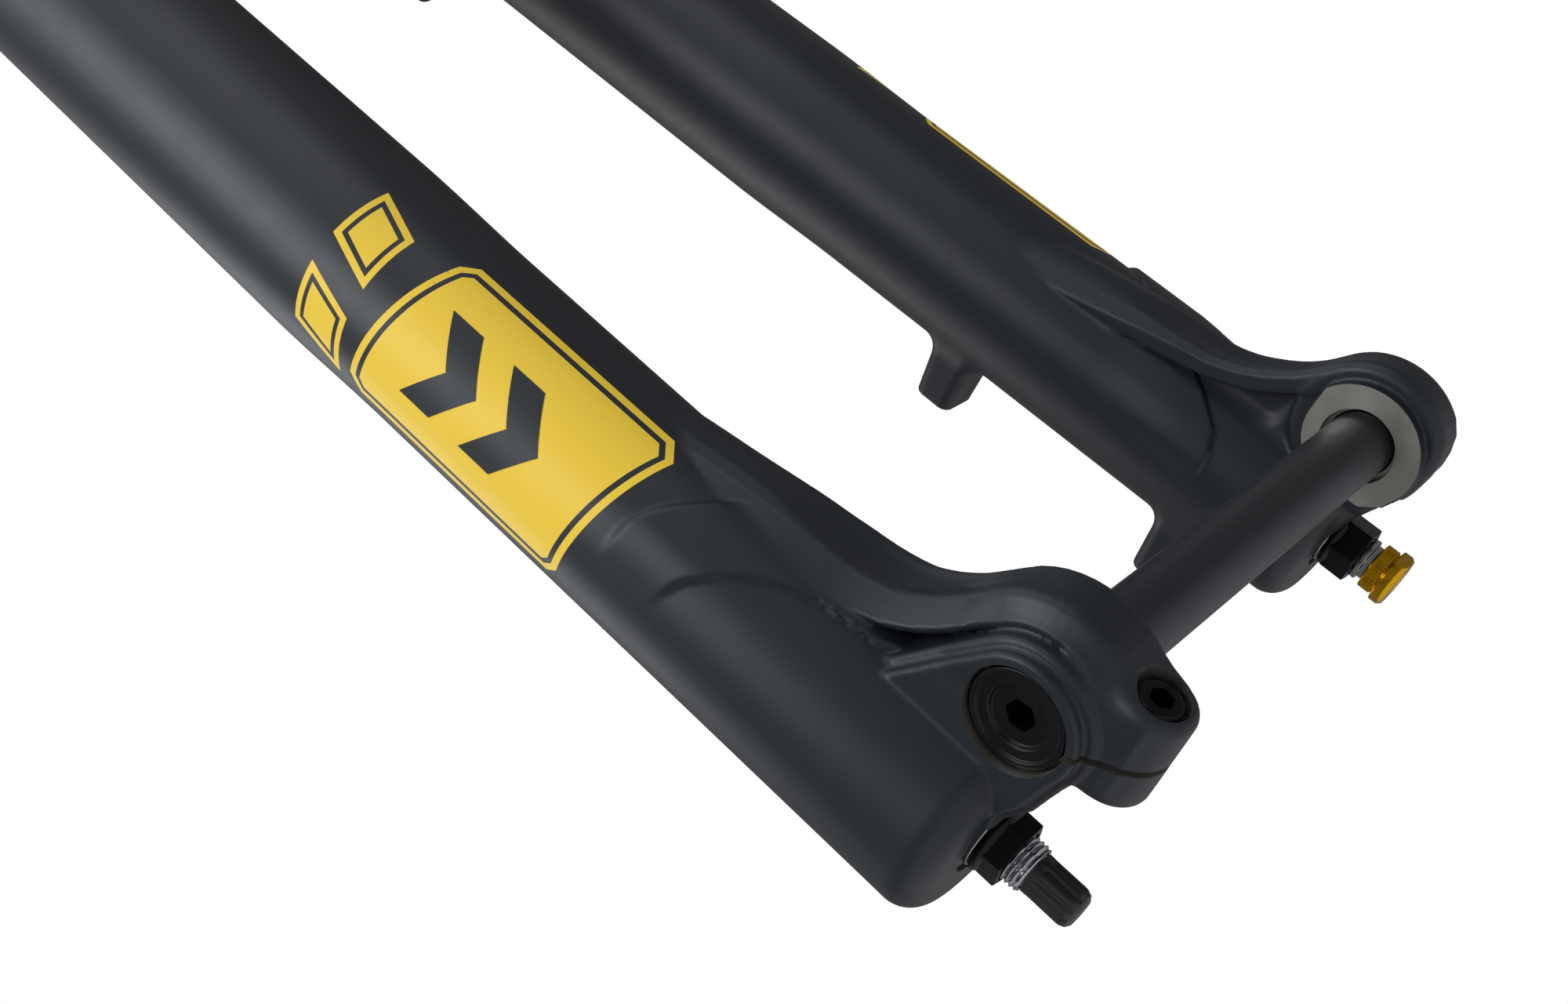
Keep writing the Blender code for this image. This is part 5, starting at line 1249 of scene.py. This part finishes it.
# ---------------------------------------------------------------- floor, lights, camera
FLOOR_DROP, FLOOR_HALF = 600, 1500        # below the fork's lowest point, and half the floor's side
FILL_LIGHT = 0.20
SOFT_WHITE = (0.94, 0.97, 1.0)            # a little cool
LIGHTS = (                                # name, place and target in metres, size of the square, watts
    ("key", (-1.5, -0.25, 0.65), (0, 0, -0.4), 0.9, 22),
    ("front", (-0.3, -1.6, 0.9), (0, 0, -0.4), 1.2, 9),
    ("rim", (-0.5, 1.5, 0.5), (0, 0, -0.4), 0.9, 6),
    ("overhead", (0, 0, 2.4), (0, 0, -0.6), 2.6, 30))


def make_floor():
    z, far = CAD_BOX[0].z / MM - FLOOR_DROP, FLOOR_HALF
    corners = [(-far, -far, z), (far, -far, z), (far, far, z), (-far, far, z)]
    floor = mesh_object("floor", corners, [(0, 1, 2, 3)])
    # Heavy uncoated paper, rolled flat: even, matt and nearly white.
    floor.data.materials.append(mottled("pale_paper", "F4F4F5", "F8F8F8", 4.0, 0.8, 0.05, 0.02))


def make_light(name, place, target, size, watts):
    data = bpy.data.lights.new(name, "AREA")
    data.shape, data.size, data.energy, data.color = "SQUARE", size, watts, SOFT_WHITE
    lamp = bpy.data.objects.new(name, data)
    bpy.context.scene.collection.objects.link(lamp)
    lamp.location = place
    lamp.rotation_euler = (Vector(target) - Vector(place)).to_track_quat("-Z", "Y").to_euler()


def make_world():
    """White studio: seen white, with the soft fill light it gives kept low."""
    world = bpy.data.worlds.new("white_studio")
    world.use_nodes = True
    sky = world.node_tree.nodes["Background"]
    seen = add_node(world, "ShaderNodeLightPath")
    level = add_node(world, "ShaderNodeMapRange", [("Value", seen.outputs["Is Camera Ray"])],
                     To_Min=FILL_LIGHT, To_Max=1.0)
    link(world, level.outputs["Result"], sky, "Strength")
    sky.inputs["Color"].default_value = (1, 1, 1, 1)
    bpy.context.scene.world = world
    bpy.context.scene.view_settings.view_transform = "Standard"


def make_camera():
    """Low at the right front, rolled, so that the legs run from the upper left to the lower right."""
    data = bpy.data.cameras.new("camera")
    camera = bpy.data.objects.new("camera", data)
    bpy.context.scene.collection.objects.link(camera)
    right, down, ahead = ((0.6346, -0.2976, -0.7133), (-0.3596, 0.7032, -0.6133), (0.6841, 0.6457, 0.3392))
    turn = Matrix([[right[i], -down[i], -ahead[i]] for i in range(3)]).to_quaternion().to_matrix().to_4x4()
    place = Vector((-257.75, AXLE_Y - 184.87, AXLE_Z - 47.55)) * MM
    camera.matrix_world = Matrix.Translation(place) @ turn
    data.sensor_width, data.lens = 36.0, 36.84
    data.shift_x, data.shift_y = -0.0440, -0.0013
    data.clip_start, data.clip_end = 0.01, 100
    bpy.context.scene.camera = camera


make_floor()
make_world()
for light in LIGHTS:
    make_light(*light)
make_camera()
